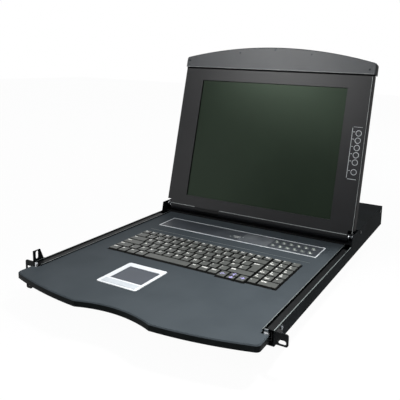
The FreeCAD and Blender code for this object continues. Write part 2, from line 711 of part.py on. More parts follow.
def slides():
    """Three nested channels on each side, with ball cages between their flanges."""
    outer_half = S.slide_height / 2
    middle_half = outer_half - S.slide_sheet - ball_room
    inner_half = middle_half - S.slide_sheet - ball_room
    outer_web = wall_face - S.slide_sheet
    middle_web = outer_web - S.slide_setback - S.slide_sheet
    toe = wall_face - S.slide_lip - S.slide_sheet
    cages = {"outer": [], "inner": []}
    for name, sign, _ in sides(0, 0):
        channel("slide_outer_" + name, (outer_web * sign, wall_face * sign)[::sign],
                toe * sign, outer_half)
        channel("slide_middle_" + name, (middle_web * sign, (middle_web + S.slide_sheet) * sign)[::sign],
                toe * sign, middle_half)
        inner_toe = bay_face + S.slide_lip - S.slide_setback
        channel("slide_inner_" + name, (bay_face * sign, (bay_face + S.slide_sheet) * sign)[::sign],
                inner_toe * sign, inner_half)
        for stage, face in (("outer", middle_half), ("inner", inner_half)):
            for side in (-1, 1):
                level = S.slide_level + side * (face + ball_room / 2)
                near = toe + S.cage_toe_gap
                reach = (near, near + S.cage_width) if sign > 0 else mirrored(near, near + S.cage_width)
                tag = "%s_cage_%s_%s" % (stage, name, "under" if side < 0 else "over")
                strip = box(tag + "_strip", reach, (S.cage_front, S.cage_front + S.cage_length),
                            (level - S.cage_sheet / 2, level + S.cage_sheet / 2))
                ball_near = reach[0] + S.ball_margin
                rolls = [cylinder("%s_ball_%d" % (tag, index), "x",
                                  (S.cage_front + S.ball_pitch * (index + 0.5), level), S.ball_diameter / 2,
                                  ball_near, ball_near + S.ball_width) for index in range(3)]
                cages[stage].append(fuse(tag, [strip] + rolls))
    for stage, pieces in cages.items():
        node(stage + "_ball_cages", pieces)


# ---------------------------------------------------------------- drawer deck and tray
keys_left = -S.keys_left
main_units = 15.13
main_right = keys_left + S.key_pitch * main_units
side_left = main_right + S.side_gap
keys_right = side_left + S.side_pitch * 3
keys_front = S.keys_front
function_front = keys_front + S.row_pitch * 5
keys_back = function_front + S.function_depth
arrow_left = keys_left + S.key_pitch * 12.27
touch_left = -S.touch_left
touch_right = touch_left + S.touch_width
touch_back = S.touch_front + S.touch_depth
panel_left = S.panel_left_inset - display_half
panel_right = display_half - S.panel_right_inset
panel_back = S.panel_front + S.panel_depth


def keyboard_opening(margin):
    """Outline round all the keys, with a step at the front for the taller arrow cluster."""
    left, right = keys_left - margin, keys_right + margin
    front, back = keys_front - margin, keys_back + margin
    step_left, step_right = arrow_left - margin, main_right + margin
    step_front = front - S.arrow_drop
    return [(left, front), (step_left, front), (step_left, step_front), (step_right, step_front),
            (step_right, front), (right, front), (right, back), (left, back)]


CREST_SLANT = 0.6  # how far an inset outline's crests move outwards, as a share of the inset


def palm_outline(inset, rear):
    """Palm rest outline: straight sides that turn by a tangent bend into a bowed front, which has a shallow
    finger dip between two crests."""
    side = display_half - inset
    corner = S.palm_corner
    crest = S.palm_crest - inset
    crest_half = S.palm_crest_half + size_of(inset) * CREST_SLANT
    flank = S.palm_side - inset
    shoulder = flank + S.palm_shoulder
    drop = corner + S.palm_shoulder
    bend = (corner * corner + drop * drop) / (corner * 2)
    return [(-side, rear), (-side, corner - flank, bend), (corner - side, -shoulder, S.palm_bow_radius),
            (-crest_half, -crest, -S.palm_dip_radius), (crest_half, -crest, S.palm_bow_radius),
            (side - corner, -shoulder, bend), (side, corner - flank), (side, rear)]


def port_key_places():
    """Left front corner of each port key on the switch panel."""
    left, front = panel_right - S.port_key_inset, S.panel_front + S.port_key_front
    return [(left + S.port_key_pitch * column, front + S.port_row_pitch * row)
            for row in range(2) for column in range(6)]


def port_key_holes():
    return [rectangle((left - S.clearance, left + S.port_key_width + S.clearance),
                      (front - S.clearance, front + S.port_key_depth + S.clearance))
            for left, front in port_key_places()]


def deck_plate():
    """Top sheet of the drawer with the palm rest's turned-down wavy front, openings and raised side rims."""
    deck = shell("deck_plate")
    palm = palm_outline(0, -S.palm_rear)
    outline = palm + [(bay_face, -S.palm_rear), (bay_face, S.tray_rear), (-bay_face, S.tray_rear),
                      (-bay_face, -S.palm_rear)]
    deck.pad("XY_Plane", [outline], deck_under, deck_top)
    palm_under = deck_top - S.palm_thickness
    deck.pad("XY_Plane", [palm], palm_under, deck_under)
    deck.pocket("XY_Plane", [palm_outline(S.palm_wall, SPILL - S.palm_rear)], palm_under, deck_under)
    rib, pitch = S.palm_wall / 2, S.palm_rib_pitch
    ribs = [rectangle((pitch * step - rib, pitch * step + rib), (-S.palm_side, -S.palm_rear))
            for step in (-2, -1, 0, 1, 2)]
    deck.pad("XY_Plane", ribs, deck_top - S.palm_rib_height, deck_under)
    rim_back = S.hinge_back - S.hinge_base_depth / 2 - 1
    tie_front = -S.palm_rear - SPILL
    web_side, shelf_side = bay_face - S.latch_shelf, bay_face + S.latch_bay
    for sign in (-1, 1):
        rim = rectangle((bay_face * sign, (bay_face - S.tray_sheet) * sign)[::-sign], (0, rim_back))
        deck.pad("XY_Plane", [rim], deck_top, deck_top + S.deck_rim)
        web = rectangle((web_side * sign, bay_face * sign)[::sign], (tie_front, -S.clearance))
        deck.pad("XY_Plane", [web], shelf_top - S.latch_shelf, deck_under)
        shelf = rectangle((bay_face * sign, shelf_side * sign)[::sign], (tie_front, S.latch_shelf_back))
        deck.pad("XY_Plane", [shelf], shelf_top - S.latch_shelf, shelf_top)
    flange = S.touch_flange - S.clearance
    pad_well = rectangle((touch_left + flange, touch_right - flange),
                         (S.touch_front + flange, touch_back - flange))
    openings = [keyboard_opening(S.keys_margin), pad_well] + port_key_holes()
    deck.pocket("XY_Plane", openings, deck_under, deck_top)
    palm_end = -number(S.palm_rear)
    deck.dress_edges("Chamfer", "Size", S.palm_bevel, lambda b: close(b.ZMin, b.ZMax, deck_top)
                     and b.YMin < palm_end - 0.1 and b.YMax < palm_end + 0.1)


def under_tray():
    """Shallow pan under the deck; its side walls carry the inner slide members."""
    tray = shell("under_tray")
    tray.pad("XY_Plane", [rectangle((-bay_face, bay_face), (0, S.tray_rear))], tray_floor, deck_under)
    inner = bay_face - S.tray_sheet
    tray.pocket("XY_Plane", [rectangle((-inner, inner), (S.tray_sheet, S.tray_rear - S.tray_sheet))],
                tray_floor + S.tray_sheet, deck_under)


def keyboard_base():
    """Pan under the keys, hung from the deck round the opening."""
    base = shell("keyboard_base")
    wall = S.keys_margin + S.keyboard_wall
    base.pad("XY_Plane", [keyboard_opening(wall)], deck_top - S.keyboard_depth, deck_under)
    base.pocket("XY_Plane", [keyboard_opening(S.keys_margin)], deck_top - S.keyboard_depth + S.keyboard_sheet,
                deck_under)


# ---------------------------------------------------------------- key caps
cap_under = deck_top + S.key_rise - S.key_height
base_floor = deck_top - S.keyboard_depth + S.keyboard_sheet
guide_posts = []


BACK_TAPER = 0.6  # slope of a cap's back face, as a share of the slope of its other faces


def cap_blank(name, x, y):
    """A solid tapered cap over two (low, high) pairs, as a Part wedge that narrows upwards."""
    item = doc.addObject("Part::Wedge", name)
    item.Placement = FreeCAD.Placement(Vec(), FreeCAD.Rotation(Vec(1, 0, 0), 90))
    width = size_of(x[1]) - x[0] - S.key_gap
    depth = size_of(y[1]) - y[0] - S.key_gap
    zero = size_of(0)
    taper = S.key_taper
    for prop, value in (("Xmin", zero), ("Xmax", width), ("X2min", zero + taper), ("X2max", width - taper),
                        ("Ymin", zero), ("Ymax", S.key_height), ("Zmin", zero), ("Zmax", depth),
                        ("Z2min", taper * BACK_TAPER), ("Z2max", depth - taper)):
        bind(item, prop, value)
    bind(item, "Placement.Base.x", size_of(x[0]) + S.key_gap / 2)
    bind(item, "Placement.Base.y", size_of(y[1]) - S.key_gap / 2)
    bind(item, "Placement.Base.z", cap_under)
    return item


def seat_cap(name, blank, x, y):
    """Cut the guide socket into a cap's underside and stand a guide post of the base in it."""
    socket, post = [], []
    for low, high in (x, y):
        centre = (size_of(low) + high) / 2
        socket.append((centre - S.key_socket / 2, centre + S.key_socket / 2))
        post.append((centre - S.key_socket / 2 + S.clearance, centre + S.key_socket / 2 - S.clearance))
    post_top = cap_under + S.key_socket_depth - S.key_travel - S.post_play
    guide_posts.append(box(name + "_post", *post, (base_floor, post_top)))
    return cut(name, blank, [box(name + "_socket", *socket, (cap_under - 1, cap_under + S.key_socket_depth))])


def keycap(name, x, y):
    return seat_cap(name, cap_blank(name + "_blank", x, y), x, y)


def key_row(name, row, units, depth=None, start=0.0, side_units=(1, 1, 1)):
    """One row of caps from a list of widths in key pitches, then the side columns."""
    front = keys_front + S.row_pitch * row
    back = front + (depth or S.row_pitch)
    pieces = []
    place = start
    for index, width in enumerate(units):
        if width > 0:
            span = (keys_left + S.key_pitch * place, keys_left + S.key_pitch * (place + width))
            pieces.append(keycap("%s_%d" % (name, index + 1), span, (front, back)))
        place += abs(width)
    place = 0
    for index, width in enumerate(side_units):
        span = (side_left + S.side_pitch * place, side_left + S.side_pitch * (place + width))
        pieces.append(keycap("%s_side_%d" % (name, index + 1), span, (front, back)))
        place += width
    node(name, pieces)


SPACE_START, SPACE_UNITS = 4.3, 4.9


def keyboard():
    """Six rows on a laptop layout, a tall enter key, a half-height arrow pair and three side columns."""
    key_row("function_keys", 5, [main_units / 17] * 17, depth=S.function_depth)
    key_row("number_keys", 4, [1.3] + [1.0] * 12 + [main_units - 13.3])
    key_row("upper_letter_keys", 3, [1.95] + [1.0] * 12)
    key_row("home_letter_keys", 2, [2.18] + [1.0] * 12)
    key_row("lower_letter_keys", 1, [1.68] + [1.0] * 11 + [main_units - 12.68])
    key_row("bottom_keys", 0, [1.1, 1.05, 1.05, 1.1, -SPACE_UNITS, 1.02, 1.02, 1.02], side_units=(1, 2))
    front, back = keys_front, keys_front + S.row_pitch
    space = (keys_left + S.key_pitch * SPACE_START, keys_left + S.key_pitch * (SPACE_START + SPACE_UNITS))
    node("space_bar", [keycap("space_cap", space, (front, back))])
    upper = (keys_front + S.row_pitch * 3, keys_front + S.row_pitch * 4)
    lower = (keys_front + S.row_pitch * 2, keys_front + S.row_pitch * 3)
    narrow = (keys_left + S.key_pitch * 14.18, main_right)
    wide = (keys_left + S.key_pitch * 13.95, main_right)
    whole = (lower[0], upper[1])
    blank = fuse("enter_blank",
                 [cap_blank("enter_stem", narrow, whole), cap_blank("enter_head", wide, upper)])
    node("enter_key", [seat_cap("enter_cap", blank, narrow, whole)])
    unit = (main_right - arrow_left) / 3
    low = front - S.arrow_drop
    middle = (low + back) / 2
    caps = [keycap("arrow_left_cap", (arrow_left, arrow_left + unit), (low, back)),
            keycap("arrow_down_cap", (arrow_left + unit, arrow_left + unit * 2), (low, middle)),
            keycap("arrow_up_cap", (arrow_left + unit, arrow_left + unit * 2), (middle, back)),
            keycap("arrow_right_cap", (arrow_left + unit * 2, main_right), (low, back))]
    node("arrow_keys", caps)
    node("key_posts", guide_posts)


# ---------------------------------------------------------------- touchpad
touch_top = deck_top + S.touch_rise
button_inset = S.touch_flange + S.touch_button_inset
button_reach = (touch_left + button_inset, touch_right - button_inset)
button_split = (button_reach[0] + button_reach[1]) / 2
button_front = S.touch_front + S.touch_button_front
button_back = button_front + S.touch_button_depth


def touchpad():
    bezel = shell("touchpad_bezel")
    flange = S.touch_flange
    bezel.pad("XY_Plane", [rounded((touch_left, touch_right), (S.touch_front, touch_back), S.touch_corner)],
              deck_top, touch_top)
    bezel.pad("XY_Plane", [rectangle((touch_left + flange, touch_right - flange),
                                     (S.touch_front + flange, touch_back - flange))],
              deck_top - S.touch_body, deck_top)
    pad_right = touch_right - S.pad_side
    pad_front = S.touch_front + S.pad_front
    pad = ((pad_right - S.pad_width, pad_right), (pad_front, pad_front + S.pad_depth))
    pad_under = deck_top - S.pad_sheet
    bezel.pocket("XY_Plane", [rectangle(*pad)], pad_under, touch_top)
    shelf = deck_top - S.touch_body + S.keyboard_sheet / 2
    bezel.pocket("XY_Plane", [rectangle(button_reach, (button_front, button_back))], shelf, touch_top)
    surface = shell("touch_surface")
    surface.pad("XY_Plane", [rectangle(*pad)], pad_under, deck_top + S.pad_lift)
    gap = S.clearance
    for name, low, high in (("left", button_reach[0], button_split - gap / 2),
                            ("right", button_split + gap / 2, button_reach[1])):
        near = gap if name == "left" else 0
        far = gap if name == "right" else 0
        key = shell("touch_button_" + name)
        key.pad("XY_Plane", [rectangle((low + near, high - far), (button_front + gap, button_back - gap))],
                shelf + S.touch_button_travel + gap, touch_top + S.touch_button_rise)


# ---------------------------------------------------------------- switch panel
def switch_panel():
    frame = shell("panel_frame")
    border = S.panel_border
    frame.pad("XY_Plane", [rectangle((panel_left, panel_right), (S.panel_front, panel_back)),
                           rectangle((panel_left + border, panel_right - border),
                                     (S.panel_front + border, panel_back - border))],
              deck_top, deck_top + S.panel_rise)
    membrane = shell("panel_membrane")
    membrane.pad("XY_Plane", [rectangle((panel_left + border, panel_right - border),
                                        (S.panel_front + border, panel_back - border))],
                 deck_top, deck_top + S.membrane_sheet)
    membrane.pocket("XY_Plane", port_key_holes(), deck_top, deck_top + S.membrane_sheet)
    top = deck_top + S.membrane_sheet + S.port_key_rise
    node("port_buttons", [box("port_key_%d" % index, (left, left + S.port_key_width),
                              (front, front + S.port_key_depth), (top - S.port_key_height, top))
                          for index, (left, front) in enumerate(port_key_places(), start=1)])


# ---------------------------------------------------------------- hinge
def hinge():
    base = shell("hinge_base")
    middle = S.hinge_back
    reach = (middle - S.hinge_base_depth / 2, middle + S.hinge_base_depth / 2)
    top = deck_top + S.hinge_base_rise
    plate_under = top - S.hinge_base_sheet
    base.pad("XY_Plane", [rectangle((-display_half, display_half), reach)], plate_under, top)
    base.pad("XY_Plane", [rectangle((-bay_face, bay_face), reach)], deck_top, plate_under)
    knuckles = []
    for name, sign, span in sides(knuckle_face, display_half):
        stem = box("knuckle_stem_" + name, span, (middle - S.knuckle_stem, middle + S.knuckle_stem),
                   (top, hinge_level))
        eye = cylinder("knuckle_eye_" + name, "x", (middle, hinge_level), S.knuckle_radius, *span)
        bore = cylinder("knuckle_bore_" + name, "x", (middle, hinge_level), S.pin_radius + S.pin_play,
                        span[0] - SPILL, span[1] + SPILL)
        knuckles.append(cut("knuckle_" + name, fuse("knuckle_block_" + name, [stem, eye]), [bore]))
    node("hinge_knuckles", knuckles)
    pins = [cylinder("hinge_pin_" + name, "x", (middle, hinge_level), S.pin_radius, *span)
            for name, sign, span in sides(display_half - S.pin_length, display_half)]
    node("hinge_pins", pins)


# ---------------------------------------------------------------- display, drawn flat and then stood open
handle_half = display_half + S.handle_lip
handle_span = handle_half - S.handle_corner
bow_inner = S.handle_bow - S.handle_corner
handle_rise = root(bow_inner * bow_inner - handle_span * handle_span)
handle_centre = S.handle_peak - S.handle_bow
handle_side = handle_centre + handle_rise
handle_base = S.bezel_top + S.handle_gap


def button_rows():
    """Height of each round display button; the lowest, the power button, stands a little apart."""
    rows = [S.button_row - S.button_pitch * step for step in range(5)]
    return rows + [rows[4] - S.power_gap]


def button_holes():
    return [Circle(button_column, row, S.button_radius + S.button_play) for row in button_rows()]


def screen_outline(margin):
    """The screen's rectangle, larger by a margin on every side."""
    return rectangle((-S.screen_width / 2 - margin, S.screen_width / 2 + margin),
                     (S.screen_base - margin, S.screen_base + S.screen_height + margin))


def corner_notches():
    """The two cut-away lower corners in which the knuckles sit."""
    return [rectangle(span, (-S.display_thickness, S.notch_height))
            for name, sign, span in sides(notch_face, display_half + 1)]


def display_back():
    """Rear shell with the round hinge barrel along its lower edge and a tongue into the handle."""
    back = shell("display_back")
    r = display_front
    chamfer = S.back_chamfer
    top = S.bezel_top
    profile = [(S.display_base, r), (0, r, r), (0, -r), (top - chamfer, -r), (top, chamfer - r),
               (top, bezel_under), (S.display_base, bezel_under)]
    back.pad("YZ_Plane", [profile], -display_half, display_half)
    wall = S.bezel_sheet
    room = rectangle((wall - display_half, display_half - wall), (S.display_base + S.barrel_wall, top - wall))
    back.pocket("XY_Plane", [room], S.back_wall - r, bezel_under)
    back.pocket("XY_Plane", corner_notches(), -r, r)
    neck = rectangle((-S.neck_left - S.clearance, S.neck_width - S.neck_left + S.clearance),
                     (-r - 1, S.display_base))
    back.pocket("XY_Plane", [neck], -r, r)
    for name, sign, span in sides(display_half - S.pin_length - S.clearance, notch_face + 1):
        back.pocket("YZ_Plane", [Circle(0, 0, S.pin_radius + S.pin_play)], *span)
    tongue_half = handle_half - S.tongue_inset
    tongue = rectangle((-tongue_half, tongue_half), (top - wall - SPILL, handle_side - S.tongue_gap))
    back.pad("XY_Plane", [tongue], bezel_under - S.clearance - S.back_wall, bezel_under - S.clearance)
    back.in_display()


def display_bezel():
    """Front frame round the screen, with holes for the display buttons."""
    bezel = shell("display_bezel")
    bezel.pad("XY_Plane", [rectangle((-display_half, display_half), (S.display_base, S.bezel_top))],
              bezel_under, display_front)
    bezel.pocket("XY_Plane", [screen_outline(0)] + button_holes(), bezel_under, display_front)
    bezel.pocket("XY_Plane", corner_notches(), bezel_under, display_front)
    bezel.dress_edges("Fillet", "Radius", S.bezel_round, lambda b: close(b.ZMin, b.ZMax, display_front) and (
        close(b.XMin, b.XMax, -display_half) or close(b.XMin, b.XMax, display_half)
        or close(b.YMin, b.YMax, S.bezel_top)))
    bezel.in_display()


def osd_plate():
    """Thin printed plate round the display buttons."""
    plate = shell("osd_plate")
    left = S.screen_width / 2 + S.osd_offset
    outline = rounded((left, left + S.osd_width), (S.osd_base, S.osd_base + S.osd_height), S.osd_corner)
    plate.pad("XY_Plane", [outline], display_front, display_front + S.osd_sheet)
    plate.pocket("XY_Plane", button_holes(), display_front, display_front + S.osd_sheet)
    plate.in_display()


def osd_buttons():
    """Six round buttons, each kept in by a collar under the bezel."""
    top = display_front + S.osd_sheet + S.button_rise
    foot = top - S.button_length
    for index, row in enumerate(button_rows(), start=1):
        button = shell("osd_button_%d" % index)
        button.pad("XY_Plane", [Circle(button_column, row, S.button_radius)], foot, top)
        button.pad("XY_Plane", [Circle(button_column, row, S.button_radius + S.button_collar)],
                   foot - S.button_collar, foot)
        button.in_display()


def screen():
    """Cover glass against the back of the bezel, and the flat-panel module behind it."""
    for name, margin, low, high in (("screen_glass", S.glass_overlap, glass_under, bezel_under),
                                    ("display_panel", S.module_border, module_under, glass_under)):
        sheet = shell(name)
        sheet.pad("XY_Plane", [screen_outline(margin)], low, high)
        sheet.in_display()


def display_board():
    """Driver board on posts behind the module, and the narrow switch board behind the buttons."""
    back = S.back_wall - display_front
    low = back + S.driver_gap
    top = low + S.driver_sheet
    x = (-S.driver_width / 2, S.driver_width / 2)
    y = (S.driver_base, S.driver_base + S.driver_height)
    boxes = [("driver_sheet", x, y, (low, top)),
             ("driver_chip", (-12, 8), (S.driver_base + 30, S.driver_base + 50), (top, top + 1.2)),
             ("driver_socket", (30, 52), (S.driver_base + 6, S.driver_base + 12), (top, top + 1.6))]
    post = S.driver_post
    post_columns = ((x[0] + post, x[0] + post * 2), (x[1] - post * 2, x[1] - post))
    post_rows = ((y[0] + post, y[0] + post * 2), (y[1] - post * 2, y[1] - post))
    for index, (across, along) in enumerate([(a, b) for a in post_columns for b in post_rows]):
        boxes.append(("driver_post_%d" % index, across, along, (back, low)))
    rows = button_rows()
    collar_under = display_front + S.osd_sheet + S.button_rise - S.button_length - S.button_collar
    switch_top = collar_under - S.button_travel - S.button_play
    strip = (switch_top - S.switch_height - S.driver_sheet, switch_top - S.switch_height)
    column = (button_column - S.strip_half, button_column + S.strip_half)
    strip_end = (rows[5] - S.strip_reach, rows[0] + S.strip_reach)
    boxes.append(("switch_strip", column, strip_end, strip))
    reach = S.switch_half
    for index, row in enumerate(rows):
        boxes.append(("tact_switch_%d" % index, (button_column - reach, button_column + reach),
                      (row - reach, row + reach), (strip[1], switch_top)))
    post, inset = S.strip_post, S.strip_post_inset
    for index, row in enumerate((strip_end[0] + inset, strip_end[1] - inset - post)):
        boxes.append(("strip_post_%d" % index, (column[0], column[0] + post), (row, row + post),
                      (back, strip[0])))
    node("display_board", [seat_piece(*item) for item in boxes])


def seat_piece(name, x, y, z):
    """A box given in the display's plane, carried to the display's open place through a group of its own."""
    return seat_display(group(name, [box(name + "_blank", x, y, z)]))


def handle():
    """Arched handle across the top of the display, hollow from below, with its screws."""
    arch = shell("handle_arch")
    c, bow = S.handle_corner, S.handle_bow
    growth = bow / bow_inner
    tip, shoulder = handle_span * growth, handle_centre + handle_rise * growth
    outline = [(-handle_half, handle_base), (handle_half, handle_base), (handle_half, handle_side, c),
               (tip, shoulder, bow), (-tip, shoulder, c), (-handle_half, handle_side)]
    arch.pad("XY_Plane", [outline], -display_front, display_front)
    wall = S.bezel_sheet
    hollow = rectangle((wall - handle_half, handle_half - wall), (wall - display_front, bezel_under))
    arch.pocket("XZ_Plane", [hollow], handle_base, handle_side)
    head = S.handle_screw_radius
    row = handle_side + S.handle_screw_row
    places = [(-S.handle_screw_pitch, row), (S.handle_screw_pitch, row),
              (0, S.handle_peak - S.handle_screw_top),
              (S.corner_screw_side - handle_half, handle_base + S.corner_screw_rise),
              (handle_half - S.corner_screw_side_right, handle_base + S.corner_screw_rise_right)]
    seats = [Circle(x, y, head) for x, y in places]
    arch.pocket("XY_Plane", seats, display_front - S.screw_seat, display_front)
    seat_span = number(head) * 2 + 0.5
    arch.dress_edges("Fillet", "Radius", S.handle_round,
                     lambda b: close(abs(b.ZMin), abs(b.ZMax), display_front)
                     and b.ZMin * b.ZMax > 0 and b.YMax > number(handle_side) - 0.1
                     and max(b.XMax - b.XMin, b.YMax - b.YMin) > seat_span)
    arch.in_display()
    screws = shell("handle_screws")
    screws.pad("XY_Plane", seats, display_front - S.screw_seat, display_front + S.handle_screw_head)
    screws.in_display()


def cable_neck():
    """Square-shouldered cable duct in the hinge barrel."""
    neck = shell("cable_neck")
    r = display_front
    back = S.display_base - S.clearance
    shoulder, reach, half_face = -S.neck_shoulder, -S.neck_reach, S.neck_half
    profile = [(back, r), (shoulder, r), (reach, half_face), (-r - S.neck_lip, 0), (reach, -half_face),
               (shoulder, -r), (back, -r)]
    neck.pad("YZ_Plane", [profile], -S.neck_left, S.neck_width - S.neck_left)
    neck.in_display()


# ---------------------------------------------------------------- drawer latches
def latches():
    """A bright tab with a foot on the deck's shelf, on each side of the palm rest."""
    low = shelf_top + S.clearance
    for name, sign, span in sides(bay_face + S.latch_set, bay_face + S.latch_set + S.latch_width):
        latch = shell("latch_" + name)
        front = -S.latch_face
        latch.pad("XY_Plane", [rectangle(span, (front, front + S.latch_sheet))], low, low + S.latch_height)
        latch.pad("XY_Plane", [rectangle(span, (front, front + S.latch_sheet + S.latch_foot))], low,
                  low + S.latch_sheet)


# ---------------------------------------------------------------- build, check and export
for build in (base_pan, top_cover, rear_panel, computer_ports, power_inlet, power_rocker, main_board,
              power_supply, cover_screws, ear_screws, slides, deck_plate, under_tray, keyboard_base, keyboard,
              touchpad, switch_panel, hinge, display_back, display_bezel, osd_plate, osd_buttons, screen,
              display_board, handle, cable_neck, latches):
    build()
ear("ear_left", -1, True)
ear("ear_right", 1, False)
doc.recompute()

for item in doc.Objects:
    if "Invalid" in item.State or "Error" in item.State:
        raise ValueError("%s did not compute: %s" % (item.Name, item.State))
for item in shells:
    for feature in item.cuts:
        if feature.Shape.Volume >= feature.BaseFeature.Shape.Volume - 0.01:
            raise ValueError("%s removed nothing" % feature.Name)
for item in nodes:
    shape = item.Shape
    if shape.isNull() or not shape.isValid() or shape.Volume < 1:
        raise ValueError("%s has no good shape" % item.Name)
    item.Label = item.Name
    shape.exportStep("parts/%s.step" % item.Name)
    print("%-22s %2d solids %12.1f mm3" % (item.Name, len(shape.Solids), shape.Volume))
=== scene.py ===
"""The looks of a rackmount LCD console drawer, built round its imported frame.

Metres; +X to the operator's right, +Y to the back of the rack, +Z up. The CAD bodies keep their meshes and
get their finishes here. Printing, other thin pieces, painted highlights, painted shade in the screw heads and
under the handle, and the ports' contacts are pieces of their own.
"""
import json
import math

import bmesh
import bpy
from mathutils import Matrix, Vector


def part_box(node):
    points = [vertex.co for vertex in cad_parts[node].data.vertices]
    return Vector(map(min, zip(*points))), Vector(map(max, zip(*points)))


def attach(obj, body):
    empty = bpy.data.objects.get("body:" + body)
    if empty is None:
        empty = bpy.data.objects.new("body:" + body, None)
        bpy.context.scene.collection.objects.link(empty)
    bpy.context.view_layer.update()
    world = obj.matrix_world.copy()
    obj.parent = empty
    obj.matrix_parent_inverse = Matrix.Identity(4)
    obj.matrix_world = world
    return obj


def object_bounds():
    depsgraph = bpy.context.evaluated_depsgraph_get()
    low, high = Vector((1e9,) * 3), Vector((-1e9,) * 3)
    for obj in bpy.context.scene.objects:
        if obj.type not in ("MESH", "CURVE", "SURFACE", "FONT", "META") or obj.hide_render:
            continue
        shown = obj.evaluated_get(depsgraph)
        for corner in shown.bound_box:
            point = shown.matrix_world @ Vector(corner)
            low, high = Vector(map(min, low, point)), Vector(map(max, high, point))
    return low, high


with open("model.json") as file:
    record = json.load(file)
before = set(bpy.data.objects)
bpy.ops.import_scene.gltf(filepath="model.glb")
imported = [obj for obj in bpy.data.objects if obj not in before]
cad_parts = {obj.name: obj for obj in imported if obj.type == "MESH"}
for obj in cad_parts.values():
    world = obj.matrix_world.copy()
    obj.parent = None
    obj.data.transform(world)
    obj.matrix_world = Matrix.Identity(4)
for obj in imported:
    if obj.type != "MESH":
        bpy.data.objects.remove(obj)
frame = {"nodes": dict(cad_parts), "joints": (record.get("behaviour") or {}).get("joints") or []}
nodes = frame["nodes"]
plain_low, plain_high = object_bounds()
MM = 0.001


# ---- Pan, lid, rear panel and rack ears -------------------------------------------------------------------
# Bent sheet steel, powder coated in satin black, with the ears and the lid screwed to the pan. The rails'
# top faces are painted paler, a painted highlight along the rails.
def linear(code):
    """An sRGB hex colour as linear red, green, blue and alpha."""
    parts = [int(code[i:i + 2], 16) / 255 for i in (1, 3, 5)]
    return [c / 12.92 if c <= 0.04045 else ((c + 0.055) / 1.055) ** 2.4 for c in parts] + [1.0]


def add(tree, kind, inputs=None, **settings):
    """A new node with its settings, and its inputs given as values or as sockets to link from."""
    made = tree.nodes.new(kind)
    for name, value in settings.items():
        setattr(made, name, value)
    for name, value in (inputs or {}).items():
        if isinstance(value, bpy.types.NodeSocket):
            tree.links.new(value, made.inputs[name])
        else:
            made.inputs[name].default_value = value
    return made


def finish(name, colour, roughness, second, patch_mm=40.0, grain_mm=None, grain_depth_mm=0.0, edge_mm=None,
           **sockets):
    """A finish with cloudy patches of a second colour, a fine surface grain and softened edges, all of a
    real size."""
    material = bpy.data.materials.new(name)
    material.use_nodes = True
    tree = material.node_tree
    shader = tree.nodes["Principled BSDF"]
    shader.inputs["Base Color"].default_value = linear(colour)
    shader.inputs["Roughness"].default_value = roughness
    for socket, value in sockets.items():
        shader.inputs[socket.replace("_", " ")].default_value = value
    place = add(tree, "ShaderNodeTexCoord").outputs["Object"]
    patches = add(tree, "ShaderNodeTexNoise", {"Vector": place, "Scale": 1 / (patch_mm * MM), "Detail": 2.0})
    ramp = add(tree, "ShaderNodeValToRGB", {"Fac": patches.outputs["Fac"]})
    first_stop, last_stop = ramp.color_ramp.elements
    first_stop.position, last_stop.position = 0.35, 0.65
    first_stop.color, last_stop.color = linear(colour), linear(second)
    tree.links.new(ramp.outputs["Color"], shader.inputs["Base Color"])
    normal = None
    if edge_mm:
        normal = add(tree, "ShaderNodeBevel", {"Radius": edge_mm * MM}, samples=4).outputs["Normal"]
        tree.links.new(normal, shader.inputs["Normal"])
    if grain_mm:
        grain = add(tree, "ShaderNodeTexNoise",
                    {"Vector": place, "Scale": 1 / (grain_mm * MM), "Detail": 1.0})
        bump = add(tree, "ShaderNodeBump", {"Height": grain.outputs["Fac"], "Distance": grain_depth_mm * MM,
                                            "Strength": 1.0})
        if normal:
            tree.links.new(normal, bump.inputs["Normal"])
        tree.links.new(bump.outputs["Normal"], shader.inputs["Normal"])
    return material


def dress(material, *names):
    """Give CAD nodes their finish."""
    for name in names:
        mesh = nodes[name].data
        mesh.materials.clear()
        mesh.materials.append(material)


def dress_faces(name, material, chosen):
    """Give a second finish to the faces of a CAD node that are chosen by their centre and normal."""
    mesh = nodes[name].data
    mesh.materials.append(material)
    for face in mesh.polygons:
        if chosen(face.center, face.normal):
            face.material_index = len(mesh.materials) - 1


# The coat's real texture is about 0.5 mm across, too fine to show, so it is drawn at 1.6 mm. It hardly
# mirrors the room, and so the sheets stay near black; the ears are smoother and catch a little more light.
powder_coat = finish("satin black powder coat", "#16191a", 0.55, second="#1a1d1f", grain_mm=1.6,
                     grain_depth_mm=0.02, edge_mm=0.6, Specular_IOR_Level=0.005)
ear_coat = finish("satin black steel", "#0e1011", 0.38, second="#131516", grain_mm=1.6,
                  grain_depth_mm=0.015, edge_mm=0.6, Specular_IOR_Level=0.06)
# Painted highlight: the rails' top faces are drawn paler, for the light caught along them.
rail_top_highlight = finish("painted rail top highlight", "#6f7675", 0.36, second="#5d6463", patch_mm=30.0)
dress(powder_coat, "base_pan", "top_cover", "rear_panel")
dress(ear_coat, "ear_left", "ear_right")

LEVEL = 0.9          # from this share of its normal upwards, a face counts as level
FLUSH = 0.2 * MM     # two faces closer than this in height count as one
rail_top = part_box("ear_right")[1].z
dress_faces("base_pan", rail_top_highlight,
            lambda centre, normal: normal.z > LEVEL and abs(centre.z - rail_top) < FLUSH)

# ---- Slides ------------------------------------------------------------------------------------------------
# Three nested channels on each side, rolled from steel strip and given a dark electrophoretic coat. The ball
# cages between them are pressed and zinc plated, and show as dull silver.
# The coat is smooth and almost black, with a faint sheen along the channels' bends.
slide_coat = finish("dark coated slide steel", "#0d0e0f", 0.42, second="#131415", patch_mm=12.0,
                    Specular_IOR_Level=0.1)
zinc = finish("zinc plated steel", "#8f959a", 0.36, second="#7e848a", patch_mm=12.0, Metallic=1.0)
dress(slide_coat, *[f"slide_{member}_{side}" for member in ("outer", "middle", "inner")
                    for side in ("left", "right")])
dress(zinc, "outer_ball_cages", "inner_ball_cages")
